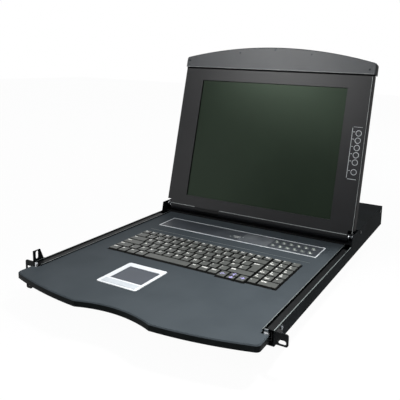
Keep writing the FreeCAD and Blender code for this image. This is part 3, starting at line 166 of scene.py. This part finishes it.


# ---- Screws ------------------------------------------------------------------------------------------------
# Small machine screws: zinc plated on the ears, blackened on the lid and the handle. Each head's cross
# hollow is drawn as a dark cross lying on it, as painted shade.
def make_piece(name, bm, material, body):
    """Turn a bmesh into a piece that rides on a CAD body."""
    mesh = bpy.data.meshes.new(name)
    bm.to_mesh(mesh)
    bm.free()
    mesh.materials.append(material)
    piece = bpy.data.objects.new(name, mesh)
    bpy.context.collection.objects.link(piece)
    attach(piece, body)


def add_bar(bm, matrix, size):
    """A thin box of a given size, centred on a placement."""
    bmesh.ops.create_cube(bm, size=1.0, matrix=matrix @ Matrix.Diagonal((*size, 1.0)))


def facing(direction):
    """A rotation whose local Z looks along a level direction and whose local Y points up."""
    z = Vector(direction).normalized()
    x = Vector((0, 0, 1)).cross(z).normalized()
    return Matrix((x, z.cross(x), z)).transposed().to_4x4()


def solids(name, place=Matrix.Identity(4)):
    """The lowest and highest corner of each separate solid of a node in a placement's own axes, by X, then Y,
    then Z."""
    bm = bmesh.new()
    bm.from_mesh(nodes[name].data)
    bmesh.ops.remove_doubles(bm, verts=bm.verts, dist=1e-6)
    turn = place.inverted()
    waiting, boxes = set(bm.verts), []
    while waiting:
        stack, points = [waiting.pop()], []
        while stack:
            vert = stack.pop()
            points.append(turn @ vert.co)
            for edge in vert.link_edges:
                other = edge.other_vert(vert)
                if other in waiting:
                    waiting.remove(other)
                    stack.append(other)
        boxes.append((Vector([min(p[i] for p in points) for i in range(3)]),
                      Vector([max(p[i] for p in points) for i in range(3)])))
    bm.free()
    return sorted(boxes, key=lambda box: [round(value, 4) for value in box[0]])


# The plating mirrors the room brightly and blackened heads only glint; the dark crosses are painted shade.
plated = finish("bright plated steel", "#d2d5d8", 0.25, second="#b4b8bc", patch_mm=3.0, Metallic=1.0)
dark_steel = finish("blackened steel", "#2b2d2f", 0.30, second="#232527", patch_mm=5.0, Metallic=1.0)
painted_shade = finish("painted shade", "#050506", 0.6, second="#0a0a0b", Specular_IOR_Level=0.01)
dress(plated, "hinge_pins")
dress(zinc, "ear_screws")
dress(dark_steel, "cover_screws", "handle_screws")

# The display's own axes: X along the hinge, Y up the screen and Z out of the glass.
hinge = next(joint for joint in frame["joints"] if joint["name"] == "display_hinge")
glass_faces = nodes["screen_glass"].data.polygons
front_face = max(glass_faces, key=lambda face: face.area * (face.normal.y < 0))
lean = math.atan2(-front_face.normal.y, front_face.normal.z)
DISPLAY = Matrix.Translation(hinge["pos_m"]) @ Matrix.Rotation(lean, 4, "X")

CROSS_TURNS = [Matrix.Rotation(math.radians(tilt), 4, "Z") for tilt in (45, 135)]
SIDE_CROSS_BAR = (3.2 * MM, 0.7 * MM, 0.1 * MM)
HANDLE_CROSS_BAR = (2.8 * MM, 0.6 * MM, 0.1 * MM)
# Dark crosses on the screw heads: painted shade in their hollows.
for name in ("ear_screws", "cover_screws"):
    bm = bmesh.new()
    for low, high in solids(name):
        side = math.copysign(1, low.x)
        face = Vector((high.x if side > 0 else low.x, (low.y + high.y) / 2, (low.z + high.z) / 2))
        for turn in CROSS_TURNS:
            add_bar(bm, Matrix.Translation(face) @ facing((side, 0, 0)) @ turn, SIDE_CROSS_BAR)
    make_piece(name + "_recesses", bm, painted_shade, "chassis")
bm = bmesh.new()
for low, high in solids("handle_screws", DISPLAY):
    head = Matrix.Translation(((low.x + high.x) / 2, (low.y + high.y) / 2, high.z))
    for turn in CROSS_TURNS:
        add_bar(bm, DISPLAY @ head @ turn, HANDLE_CROSS_BAR)
make_piece("handle_screw_recesses", bm, painted_shade, "display")

# ---- Deck and tray -----------------------------------------------------------------------------------------
# One steel pressing in a matte blue-grey paint over a black tray. Its steep faces, the palm rest's
# turned-down edge among them, are painted near black as painted shade, and the side rims' tops are painted
# paler as a painted highlight. A pale painted highlight marks a fine crease across the deck in front of the
# switch panel.
STEEP = 0.6                  # under this share of its normal upwards, a face counts as an edge
CREASE_AHEAD = 28.0 * MM     # in front of the switch panel's frame
CREASE_END = 1.0 * MM        # short of the frame's length, at each end
CREASE_WIDTH, CREASE_HEIGHT = 0.9 * MM, 0.3 * MM
# A flat paint with hardly any shine. Its texture is drawn at 1.8 mm, several times as coarse as the real one.
deck_paint = finish("matte deck paint", "#3f4549", 0.42, second="#43494d", patch_mm=60.0, grain_mm=1.8,
                    grain_depth_mm=0.02, edge_mm=0.4, Specular_IOR_Level=0.01)
# Painted shade: the deck's steep faces, the palm rest's edge among them, are drawn near black.
painted_lip_shade = finish("painted edge shade", "#0d1010", 0.40, second="#121516", grain_mm=1.8,
                   grain_depth_mm=0.02, edge_mm=0.8, Specular_IOR_Level=0.02)
# Painted highlight: the rims' tops and the crease line are drawn pale.
painted_rim_highlight = finish("painted rim highlight", "#6c7272", 0.34, second="#5a6060", patch_mm=30.0)
rim_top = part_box("deck_plate")[1].z
deck_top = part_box("panel_membrane")[0].z
dress(deck_paint, "deck_plate")
dress_faces("deck_plate", painted_lip_shade, lambda centre, normal: normal.z < STEEP)
dress_faces("deck_plate", painted_rim_highlight, lambda centre, normal: normal.z > LEVEL and centre.z > rim_top - FLUSH)
dress(powder_coat, "under_tray")
panel_low, panel_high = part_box("panel_frame")
# A pale line across the deck in front of the switch panel, a painted highlight along a crease.
bm = bmesh.new()
add_bar(bm, Matrix.Translation(((panel_low.x + panel_high.x) / 2, panel_low.y - CREASE_AHEAD, deck_top)),
        (panel_high.x - panel_low.x - 2 * CREASE_END, CREASE_WIDTH, CREASE_HEIGHT))
make_piece("deck_crease_highlight", bm, painted_rim_highlight, "drawer")

# ---- Keyboard ----------------------------------------------------------------------------------------------
# Six rows of moulded ABS caps on guide posts, over a black moulded well. The caps' tops have a light matte
# texture and their skirts are painted dark, as painted shade. The legends are pad printed, white, and violet
# on the arrow keys.
PRINT_LIFT = 0.03 * MM       # the ink's height over what it is printed on
KEY_NODES = ("function_keys", "number_keys", "upper_letter_keys", "home_letter_keys", "lower_letter_keys",
             "bottom_keys", "space_bar", "enter_key", "arrow_keys")
# The well is black moulding painted darker than any cap, partly painted shade, so that the gaps read as
# black lines; the caps' softened edges catch light.
well = finish("black well with painted gap shade", "#060607", 0.55, second="#09090a", Specular_IOR_Level=0.05)
cap_plastic = finish("matte key plastic", "#4b4d4b", 0.46, second="#515350", patch_mm=25.0, edge_mm=0.4,
                     Specular_IOR_Level=0.25)
# Painted shade: the caps' steep sides are drawn much darker than their tops.
painted_skirt_shade = finish("painted key skirt shade", "#141514", 0.5, second="#181918", Specular_IOR_Level=0.1)
key_print = finish("white key print", "#f2f2ee", 0.5, second="#e2e2dc", patch_mm=8.0)
violet_print = finish("violet key print", "#b9b2ea", 0.5, second="#a79fe0", patch_mm=8.0)
dress(well, "keyboard_base", "key_posts")
dress(cap_plastic, *KEY_NODES)
for name in KEY_NODES:
    dress_faces(name, painted_skirt_shade, lambda centre, normal: normal.z < STEEP)


def add_words(bm, words, matrix, size, bold, align="LEFT"):
    """Lay flat letters into a bmesh: their size and extra stroke in metres, and the foot of their left side,
    or of their middle, at the placement."""
    curve = bpy.data.curves.new("words", "FONT")
    curve.body = words
    curve.size = size
    curve.align_x = align
    curve.resolution_u = 2
    curve.offset = bold
    blank = bpy.data.objects.new("words", curve)
    bpy.context.collection.objects.link(blank)
    bpy.context.view_layer.update()
    mesh = bpy.data.meshes.new_from_object(blank.evaluated_get(bpy.context.evaluated_depsgraph_get()))
    mesh.transform(matrix)
    bm.from_mesh(mesh)
    bpy.data.objects.remove(blank)
    bpy.data.curves.remove(curve)
    bpy.data.meshes.remove(mesh)


# A bar in a legend parts its upper line from its lower one.
LEGENDS = {
    "function_keys": ["Esc"] + [f"F{n}" for n in range(1, 13)]
                     + ["Prt", "Scr", "Ins", "Del", "Num", "/", "*"],
    "number_keys": ["~|`", "!|1", "\"|2", "#|3", "$|4", "%|5", "^|6", "&|7", "*|8", "(|9", ")|0", "_|-",
                    "+|=", "Back", "7|Hm", "8|Up", "9|Pg"],
    "upper_letter_keys": ["Tab"] + list("QWERTYUIOP") + ["{|[", "}|]", "4|Lt", "5", "6|Rt"],
    "home_letter_keys": ["Caps"] + list("ASDFGHJKL") + [":|;", "@|'", "~|#", "1|End", "2|Dn", "3|Pg"],
    "lower_letter_keys": ["Shift", "|\\"] + list("ZXCVBNM")
                         + ["<|,", ">|.", "?|/", "Shift", "0|Ins", ".|Del", "+"],
    "bottom_keys": ["Ctrl", "Fn", "Sys", "Alt", "Alt", "Menu", "Ctrl", "-", "Enter"],
    "enter_key": ["Enter"],
}
LETTER, WORD, PAIR, ARROW = 7.0 * MM, 4.8 * MM, 5.0 * MM, 11.0 * MM
BOLD, PAIR_BOLD, ARROW_BOLD = 0.25 * MM, 0.2 * MM, 0.35 * MM
MARGIN = 2.6 * MM            # from a cap's left and back sides to its legend
CAPITAL = 0.72               # a capital's height, as a share of the type's size
LINE_STEP = 1.15             # from one line to the next, as a share of the type's size
ARROW_MIDDLE = 0.3           # from an arrow's foot line to its middle, as a share of its size
for node, legends in LEGENDS.items():
    bm = bmesh.new()
    for (low, high), legend in zip(solids(node), legends):
        parts = legend.split("|") if len(legend) > 1 and "|" in legend else [legend]
        left, back, top = low.x + MARGIN, high.y - MARGIN, high.z + PRINT_LIFT
        if len(parts) == 1:
            size = LETTER if len(legend) == 1 else WORD
            add_words(bm, legend, Matrix.Translation((left, back - size * CAPITAL, top)), size, BOLD)
            continue
        for index, words in enumerate(parts):
            if words:
                drop = PAIR * (CAPITAL + LINE_STEP * index)
                add_words(bm, words, Matrix.Translation((left, back - drop, top)), PAIR, PAIR_BOLD)
    make_piece(node + "_legends", bm, key_print, node)
bm = bmesh.new()
for (low, high), words in zip(solids("arrow_keys"), ("←", "↓", "↑", "→")):
    spot = ((low.x + high.x) / 2, (low.y + high.y) / 2 - ARROW_MIDDLE * ARROW, high.z + PRINT_LIFT)
    add_words(bm, words, Matrix.Translation(spot), ARROW, ARROW_BOLD, "CENTER")
make_piece("arrow_legends", bm, violet_print, "arrow_keys")

# ---- Touchpad ----------------------------------------------------------------------------------------------
# A moulded surround in silver-white paint, set into the deck, with two press keys in a greyer coat of it. The
# pad between them is a smooth dark film.
# A satin paint, the palest thing on the deck. The film between is smoother, and reads as dark grey glass.
silver_paint = finish("silver white paint", "#e2e6e8", 0.34, second="#dbdfe2", patch_mm=20.0, edge_mm=0.5)
key_paint = finish("silver white key paint", "#c2c8cc", 0.36, second="#bac0c5", patch_mm=20.0, edge_mm=0.5)
pad_skin = finish("smooth touch film", "#3f444c", 0.40, second="#434850", patch_mm=40.0,
                  Specular_IOR_Level=0.2)
dress(silver_paint, "touchpad_bezel")
dress(key_paint, "touch_button_left", "touch_button_right")
dress(pad_skin, "touch_surface")

# ---- Switch panel ------------------------------------------------------------------------------------------
# A printed membrane in a thin silver frame. On its right are two rows of domed keys, each marked and with a
# small lamp behind it; in its middle are plain printed rules and a paler rectangular field.
PORT_MARKS = ("1", "2", "3", "4", "5", "6", "7", "8", "<", ">", "-", "+")
MARK_SIZE, MARK_BOLD, MARK_RISE = 7.4 * MM, 0.4 * MM, 1.2 * MM
LAMP = (4.4 * MM, 2.2 * MM, 0.3 * MM)
LAMP_LEFT, LAMP_BEHIND = 3.2 * MM, 2.6 * MM      # from a key's middle, and from its back edge
INK = 0.06 * MM                                  # height of the rules, half of it under the film's face
RULE_WIDTH = 1.6 * MM
RULES_MM = ((-4.0, 24.5, 17.0), (17.0, 24.5, 2.0),      # left end from the middle of the rack, height
            (-9.0, 18.5, 3.0), (0.5, 18.5, 14.0))       # above the frame's front edge, and length
# The paler field: its middle, its length, its margin inside the frame and its thickness.
FIELD_MIDDLE, FIELD_LENGTH, FIELD_MARGIN, FIELD_THICKNESS = 46.0 * MM, 62.0 * MM, 6.0 * MM, 0.04 * MM
# A satin film with slow clouds in its tone. The trim is the brightest line on the deck, and the raised keys
# are a shade paler than the film, so that each stands out.
membrane = finish("printed membrane", "#3a3e43", 0.34, second="#484c51", patch_mm=70.0,
                  Specular_IOR_Level=0.15)
frame_trim = finish("silver trim", "#e6ebed", 0.30, second="#d6dcdf", patch_mm=40.0)
key_film = finish("raised key film", "#5e6462", 0.34, second="#686e6c", patch_mm=10.0)
lamp_lens = finish("clear lamp lens", "#c9d6c4", 0.25, second="#b9c6b3", patch_mm=2.0)
panel_print = finish("pale panel print", "#eef2ee", 0.5, second="#dfe4df", patch_mm=8.0)
paler_field = finish("paler membrane field", "#585c60", 0.36, second="#6c7073", patch_mm=30.0,
                     Specular_IOR_Level=0.15)
dress(frame_trim, "panel_frame")
dress(membrane, "panel_membrane")
dress(key_film, "port_buttons")
film_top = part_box("panel_membrane")[1].z
from_back_left = sorted(solids("port_buttons"), key=lambda box: (-round(box[0].y, 4), box[0].x))
numbers, lamps, rules, field = bmesh.new(), bmesh.new(), bmesh.new(), bmesh.new()
for mark, (low, high) in zip(PORT_MARKS, from_back_left):
    middle = (low.x + high.x) / 2
    add_words(numbers, mark, Matrix.Translation((middle, low.y + MARK_RISE, high.z + PRINT_LIFT)),
              MARK_SIZE, MARK_BOLD, "CENTER")
    add_bar(lamps, Matrix.Translation((middle - LAMP_LEFT, high.y + LAMP_BEHIND, film_top)), LAMP)
for x, y, length in RULES_MM:
    add_bar(rules, Matrix.Translation(((x + length / 2) * MM, panel_low.y + y * MM, film_top)),
            (length * MM, RULE_WIDTH, INK))
add_bar(field, Matrix.Translation((FIELD_MIDDLE, (panel_low.y + panel_high.y) / 2, film_top)),
        (FIELD_LENGTH, panel_high.y - panel_low.y - 2 * FIELD_MARGIN, FIELD_THICKNESS))
make_piece("port_key_numbers", numbers, panel_print, "port_buttons")
make_piece("port_lamps", lamps, lamp_lens, "drawer")
make_piece("panel_rules", rules, panel_print, "drawer")
make_piece("panel_field", field, paler_field, "drawer")

# ---- Hinge -------------------------------------------------------------------------------------------------
# A black moulded beam across the deck with a blackened steel knuckle at each end. A bright plated ring on
# each end of a knuckle is a painted highlight, standing for the glint there.
BAND_RADIUS, BAND_WIDTH, BAND_INSET = 7.15 * MM, 1.3 * MM, 1.2 * MM
# The moulding's real texture is about 0.4 mm, and is drawn at 1.4 mm so that it shows.
hinge_plastic = finish("black moulded plastic", "#0f1011", 0.42, second="#131415", grain_mm=1.4,
                       grain_depth_mm=0.02, edge_mm=0.8, Specular_IOR_Level=0.1)
dress(hinge_plastic, "hinge_base", "cable_neck")
dress(dark_steel, "hinge_knuckles")
knuckles = solids("hinge_knuckles")
# Plated rings on the knuckles' ends: painted highlights for their glints.
bm = bmesh.new()
for low, high in knuckles:
    for x in (low.x + BAND_INSET, high.x - BAND_INSET):
        centre = Vector((x, (low.y + high.y) / 2, hinge["pos_m"][2]))
        bmesh.ops.create_cone(bm, cap_ends=True, segments=32, radius1=BAND_RADIUS, radius2=BAND_RADIUS,
                              depth=BAND_WIDTH, matrix=Matrix.Translation(centre) @ facing((1, 0, 0)))
make_piece("knuckle_end_highlights", bm, plated, "drawer")

# ---- Display -----------------------------------------------------------------------------------------------
# A textured black ABS bezel and a dark grey arched handle, screwed to a painted steel back, with the panel
# behind an anti-glare cover glass. Pale painted highlights run along the bezel's foot, broken by the cable
# duct, and up its right side, and along the handle's foot, above a painted shadow that parts the handle from
# the bezel. The sides of the bezel, handle and back are painted near black, as painted shade.
SIDEWAYS = 0.8               # over this share of its normal to a side, a face counts as a side
FOOT_HIGHLIGHT = (1.0 * MM, 1.2 * MM, 0.5 * MM)       # rise over the bezel's foot, width and height
SIDE_HIGHLIGHT = (1.6 * MM, 0.8 * MM, 0.4 * MM)       # inset from the bezel's side, width and height
SEAM_SHADOW = (1.2 * MM, 2.4 * MM, 0.6 * MM)            # drop under the bezel's top, width and height
EDGE_HIGHLIGHT = (0.7 * MM, 0.6 * MM, 0.1 * MM)       # rise over the handle's foot, width and height
FOOT_HIGHLIGHT_END, SIDE_HIGHLIGHT_END, SEAM_SHADOW_END, EDGE_HIGHLIGHT_END = 1.0 * MM, 4.0 * MM, 0.5 * MM, 4.0 * MM
# Both textures are drawn at 1.5 mm, about three times as coarse as the real ones.
bezel_plastic = finish("textured bezel plastic", "#121315", 0.30, second="#151618", grain_mm=1.5,
                       grain_depth_mm=0.01, edge_mm=0.8, Specular_IOR_Level=0.18)
arch_plastic = finish("textured handle plastic", "#2e3134", 0.36, second="#323538", grain_mm=1.5,
                      grain_depth_mm=0.015, edge_mm=1.0, Specular_IOR_Level=0.3)
back_paint = finish("satin black paint", "#17181a", 0.45, second="#1b1c1e", grain_mm=1.6,
                    grain_depth_mm=0.02, edge_mm=0.8, Specular_IOR_Level=0.12)
# Painted shade: the side faces of the bezel, handle and back are drawn near black.
painted_side_shade = finish("painted side shade", "#0c0c0d", 0.5, second="#0f0f10", Specular_IOR_Level=0.03)
panel_face = finish("dark display panel", "#262b28", 0.3, second="#2a2f2c")
# The glass's anti-glare coat reflects green and blurs the room to a faint haze.
cover_glass = finish("anti-glare cover glass", "#181f18", 0.22, second="#1b231b", patch_mm=120.0, IOR=1.5,
                     Specular_IOR_Level=0.13, Specular_Tint=linear("#d2f0d2"))
# Painted highlight: pale lines for the light caught along the bezel's and the handle's edges.
edge_highlight = finish("painted edge highlight", "#8d9291", 0.34, second="#7c8180", patch_mm=30.0)
for name, material in (("display_bezel", bezel_plastic), ("handle_arch", arch_plastic),
                       ("display_back", back_paint)):
    dress(material, name)
    dress_faces(name, painted_side_shade, lambda centre, normal: abs(normal.x) > SIDEWAYS)
dress(panel_face, "display_panel")
dress(cover_glass, "screen_glass")
(bezel_low, bezel_high), = solids("display_bezel", DISPLAY)
(arch_low, arch_high), = solids("handle_arch", DISPLAY)
(neck_low, neck_high), = solids("cable_neck", DISPLAY)

# Painted highlights along the bezel's foot and right side and the handle's foot, and a painted shadow under
# the handle.
foot, side, seam, line = bmesh.new(), bmesh.new(), bmesh.new(), bmesh.new()
rise, width, height = FOOT_HIGHLIGHT
for low, high in ((knuckles[0][1].x, neck_low.x), (neck_high.x, knuckles[1][0].x)):
    add_bar(foot, DISPLAY @ Matrix.Translation(((low + high) / 2, bezel_low.y + rise, bezel_high.z)),
            (high - low - 2 * FOOT_HIGHLIGHT_END, width, height))
inset, width, height = SIDE_HIGHLIGHT
add_bar(side, DISPLAY @ Matrix.Translation((bezel_high.x - inset, (bezel_low.y + arch_low.y) / 2,
                                            bezel_high.z)),
        (width, arch_low.y - bezel_low.y - 2 * SIDE_HIGHLIGHT_END, height))
# A painted shadow on the bezel under the handle's foot.
drop, width, height = SEAM_SHADOW
add_bar(seam, DISPLAY @ Matrix.Translation((0, bezel_high.y - drop, bezel_high.z)),
        (bezel_high.x - bezel_low.x - 2 * SEAM_SHADOW_END, width, height))
rise, width, height = EDGE_HIGHLIGHT
add_bar(line, DISPLAY @ Matrix.Translation((0, arch_low.y + rise, arch_high.z)),
        (arch_high.x - arch_low.x - 2 * EDGE_HIGHLIGHT_END, width, height))
make_piece("foot_highlight", foot, edge_highlight, "display")
make_piece("side_highlight", side, edge_highlight, "display")
make_piece("arch_seam_shadow", seam, painted_shade, "display")
make_piece("arch_edge_highlight", line, edge_highlight, "display")

# ---- Display buttons ---------------------------------------------------------------------------------------
# Six round moulded keys in a printed strip with a fine pale outline. Each key has a pale printed ring and a
# small mark beside it. The lowest key switches the display on.
OSD_BUTTONS = [f"osd_button_{n}" for n in range(1, 7)]
RING_INSIDE, RING_OUTSIDE = 4.9 * MM, 5.9 * MM
MARK = (3.2 * MM, 1.1 * MM, INK)
MARK_LEFT, MARK_ABOVE = 9.5 * MM, 2.2 * MM       # from a key's middle
OUTLINE_INSET, OUTLINE_WIDTH, OUTLINE_TOP_WIDTH, OUTLINE_END = 0.6 * MM, 0.9 * MM, 0.6 * MM, 2.5 * MM
# The strip is a satin print and the keys are glossier, so that each key shows a small highlight.
strip_print = finish("printed strip", "#1a1b1d", 0.36, second="#1d1e21", Specular_IOR_Level=0.15)
button_gloss = finish("semi-gloss button", "#232527", 0.24, second="#27292b", edge_mm=0.5,
                      Specular_IOR_Level=0.25)
ring_print = finish("pale ring print", "#c0c4c6", 0.35, second="#aeb2b5")
dress(strip_print, "osd_plate")
dress(button_gloss, *OSD_BUTTONS)
(strip_low, strip_high), = solids("osd_plate", DISPLAY)


def add_ring(bm, matrix, inner, outer):
    """A flat ring lying on a placement, facing along its Z."""
    rim = bmesh.ops.create_circle(bm, cap_ends=False, segments=32, radius=outer, matrix=matrix)["verts"]
    edges = list(dict.fromkeys(edge for vert in rim for edge in vert.link_edges))
    grown = bmesh.ops.extrude_edge_only(bm, edges=edges)["geom"]
    inside = [item for item in grown if isinstance(item, bmesh.types.BMVert)]
    bmesh.ops.scale(bm, vec=(inner / outer,) * 3, space=matrix.inverted(), verts=inside)


rings, marks = bmesh.new(), bmesh.new()
for name in OSD_BUTTONS:
    (low, high), = solids(name, DISPLAY)
    x, y = (low.x + high.x) / 2, (low.y + high.y) / 2
    add_ring(rings, DISPLAY @ Matrix.Translation((x, y, strip_high.z + PRINT_LIFT)),
             RING_INSIDE, RING_OUTSIDE)
    add_bar(marks, DISPLAY @ Matrix.Translation((x - MARK_LEFT, y + MARK_ABOVE, strip_high.z)), MARK)
middle_x, middle_y = (strip_low.x + strip_high.x) / 2, (strip_low.y + strip_high.y) / 2
across = strip_high.x - strip_low.x - 2 * OUTLINE_END
along = strip_high.y - strip_low.y - 2 * OUTLINE_END
for x, y, wide, tall in (
        (strip_low.x + OUTLINE_INSET, middle_y, OUTLINE_WIDTH, along),
        (middle_x, strip_low.y + OUTLINE_INSET, across, OUTLINE_WIDTH),
        (middle_x, strip_high.y - OUTLINE_INSET, across, OUTLINE_TOP_WIDTH)):
    add_bar(marks, DISPLAY @ Matrix.Translation((x, y, strip_high.z)), (wide, tall, INK))
make_piece("button_rings", rings, ring_print, "display")
make_piece("button_marks", marks, ring_print, "display")

# ---- Latches -----------------------------------------------------------------------------------------------
# Bright nickel-plated pressings in a bay on each side of the deck, beside the rack ears. Pressed inwards by a
# finger, they free the drawer, and springs put them back.
dress(plated, "latch_left", "latch_right")

# ---- Rear connectors ---------------------------------------------------------------------------------------
# Moulded sockets with plated D-shaped shells and jack nuts, held by the nuts. The blue insert in each shell
# has fifteen gold-flashed contacts in three rows. The boards behind them have a green solder mask.
INSERT = (11.6 * MM, 0.3 * MM, 5.6 * MM)
INSERT_SINK = 0.13 * MM      # the insert's middle under the shell's face, so that little of it stands proud
CONTACT_PITCH, CONTACT_RADIUS = 2.1 * MM, 0.45 * MM
ROW_PITCH, ROW_SHIFT = 1.8 * MM, 0.25            # the shift as a share of the contacts' pitch
# Moulded plastics with a faint shine, against which the shells and the contacts glint.
connector = finish("black connector moulding", "#17181b", 0.4, second="#1b1c1f", Specular_IOR_Level=0.2)
contact = finish("gold flashed contact", "#b08d45", 0.3, second="#a3813c", patch_mm=2.0, Metallic=1.0)
insert_plastic = finish("blue connector insert", "#1d3a6e", 0.4, second="#1a3565")
board = finish("green solder mask", "#1c4a2e", 0.4, second="#1a4229", patch_mm=15.0)
panel_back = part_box("rear_panel")[1].y
dress(connector, "computer_ports", "power_inlet")
dress_faces("computer_ports", plated, lambda centre, normal: centre.y > panel_back - FLUSH)
dress(button_gloss, "power_rocker")
dress(board, "main_board", "power_supply", "display_board")
inserts, contacts = bmesh.new(), bmesh.new()
for low, high in solids("computer_ports"):
    if low.y > panel_back - FLUSH:               # a jack nut, not a socket
        continue
    centre = Vector(((low.x + high.x) / 2, high.y - INSERT_SINK, (low.z + high.z) / 2))
    add_bar(inserts, Matrix.Translation(centre), INSERT)
    for row in (-1, 0, 1):
        for column in range(-2, 3):
            spot = centre + Vector(((column + row * ROW_SHIFT) * CONTACT_PITCH,
                                    INSERT[1] / 2 + PRINT_LIFT, row * ROW_PITCH))
            bmesh.ops.create_circle(contacts, cap_ends=True, segments=8, radius=CONTACT_RADIUS,
                                    matrix=Matrix.Translation(spot) @ facing((0, 1, 0)))
make_piece("port_inserts", inserts, insert_plastic, "chassis")
make_piece("port_contacts", contacts, contact, "chassis")

# ---- Stage -------------------------------------------------------------------------------------------------
# A pale floor and a white room. The camera and the glossy finishes see both as white, and the floor still
# takes the drawer's soft shadow; a dim bluish sky and five soft lamps light the drawer itself.
FLOOR_SIZE, FLOOR_GAP = 6.0, 0.7 * MM
FLOOR_GREY, FLOOR_GLOW_SHARE = (0.86, 0.86, 0.86, 1), 0.965
SKY_TINT, SKY_STRENGTH = (0.90, 0.92, 0.95, 1), 0.42
WHITE = (1, 1, 1, 1)


def shown_white(tree):
    """One for the camera's rays and for those that a gloss or a clear glass sends on, else zero."""
    ray = add(tree, "ShaderNodeLightPath")
    first = add(tree, "ShaderNodeMath", {0: ray.outputs["Is Camera Ray"], 1: ray.outputs["Is Glossy Ray"]},
                operation="MAXIMUM")
    both = add(tree, "ShaderNodeMath", {0: first.outputs[0], 1: ray.outputs["Is Transmission Ray"]},
               operation="MAXIMUM")
    return both.outputs[0]


bm = bmesh.new()
bmesh.ops.create_grid(bm, x_segments=1, y_segments=1, size=FLOOR_SIZE,
                      matrix=Matrix.Translation((0, 0, plain_low.z - FLOOR_GAP)))
mesh = bpy.data.meshes.new("floor")
bm.to_mesh(mesh)
bm.free()
floor = bpy.data.objects.new("floor", mesh)
bpy.context.collection.objects.link(floor)
pale = bpy.data.materials.new("pale floor")
pale.use_nodes = True
tree = pale.node_tree
shader = tree.nodes["Principled BSDF"]
shader.inputs["Base Color"].default_value = FLOOR_GREY
shader.inputs["Roughness"].default_value = 0.9
glow = add(tree, "ShaderNodeEmission", {"Color": WHITE, "Strength": 1.0})
share = add(tree, "ShaderNodeMath", {0: shown_white(tree), 1: FLOOR_GLOW_SHARE}, operation="MULTIPLY")
mixed = add(tree, "ShaderNodeMixShader", {0: share.outputs[0], 1: shader.outputs[0], 2: glow.outputs[0]})
tree.links.new(mixed.outputs[0], tree.nodes["Material Output"].inputs["Surface"])
mesh.materials.append(pale)

world = bpy.data.worlds.new("studio")
bpy.context.scene.world = world
world.use_nodes = True
tree = world.node_tree
sky = tree.nodes["Background"]
sky.inputs["Color"].default_value = SKY_TINT
sky.inputs["Strength"].default_value = SKY_STRENGTH
white = add(tree, "ShaderNodeBackground", {"Color": WHITE, "Strength": 1.0})
mixed = add(tree, "ShaderNodeMixShader", {0: shown_white(tree), 1: sky.outputs[0], 2: white.outputs[0]})
tree.links.new(mixed.outputs[0], tree.nodes["World Output"].inputs["Surface"])

# Each lamp: where it hangs, what it looks at, its side in metres, its power in watts and its spread in
# degrees. The key lamp throws a pool on the palm rest's right; the others fill the screen, handle and sides.
for name, spot, aim, size, power, spread in (
        ("key light", (0.35, 0.95, 1.7), (0.22, -0.04, 0.0), 0.3, 2.1, 32),
        ("screen light", (-0.7, -1.3, 1.3), (0.0, 0.4, 0.25), 0.9, 9.0, 180),
        ("arch light", (-0.75, -1.05, 1.3), (0.05, 0.47, 0.36), 0.5, 0.4, 30),
        ("low light", (-1.3, -1.5, 0.5), (-0.1, 0.4, 0.15), 0.7, 2.6, 180),
        ("back light", (-0.3, 2.2, 1.6), (0.0, 0.4, 0.1), 1.2, 10.0, 180)):
    area = bpy.data.lights.new(name, "AREA")
    area.size, area.energy, area.spread = size, power, math.radians(spread)
    light = bpy.data.objects.new(name, area)
    bpy.context.collection.objects.link(light)
    light.location = spot
    light.rotation_euler = (Vector(aim) - Vector(spot)).to_track_quat("-Z", "Y").to_euler()

# The camera stands to the front right, a little above the screen's top. Azimuth is its turn from the front to
# the right, elevation its tilt down, and roll its turn about its own axis.
CAMERA_SPOT = (0.46577, -0.57700, 0.36082)
AZIMUTH, ELEVATION, ROLL = math.radians(27.147), math.radians(9.699), math.radians(1.794)
camera_data = bpy.data.cameras.new("camera")
camera_data.sensor_width = 36.0
camera_data.lens = 46.821
camera_data.shift_x, camera_data.shift_y = -0.1119, -0.1327
camera_data.clip_start, camera_data.clip_end = 0.01, 50.0
camera = bpy.data.objects.new("camera", camera_data)
bpy.context.collection.objects.link(camera)
bpy.context.scene.camera = camera
back = Vector((math.sin(AZIMUTH) * math.cos(ELEVATION), -math.cos(AZIMUTH) * math.cos(ELEVATION),
               math.sin(ELEVATION)))
right = Vector((math.cos(AZIMUTH), math.sin(AZIMUTH), 0))
up = back.cross(right)
x_axis = right * math.cos(ROLL) + up * math.sin(ROLL)
y_axis = up * math.cos(ROLL) - right * math.sin(ROLL)
camera.matrix_world = Matrix.Translation(CAMERA_SPOT) @ Matrix((x_axis, y_axis, back)).transposed().to_4x4()

bpy.context.scene.view_settings.view_transform = "Standard"
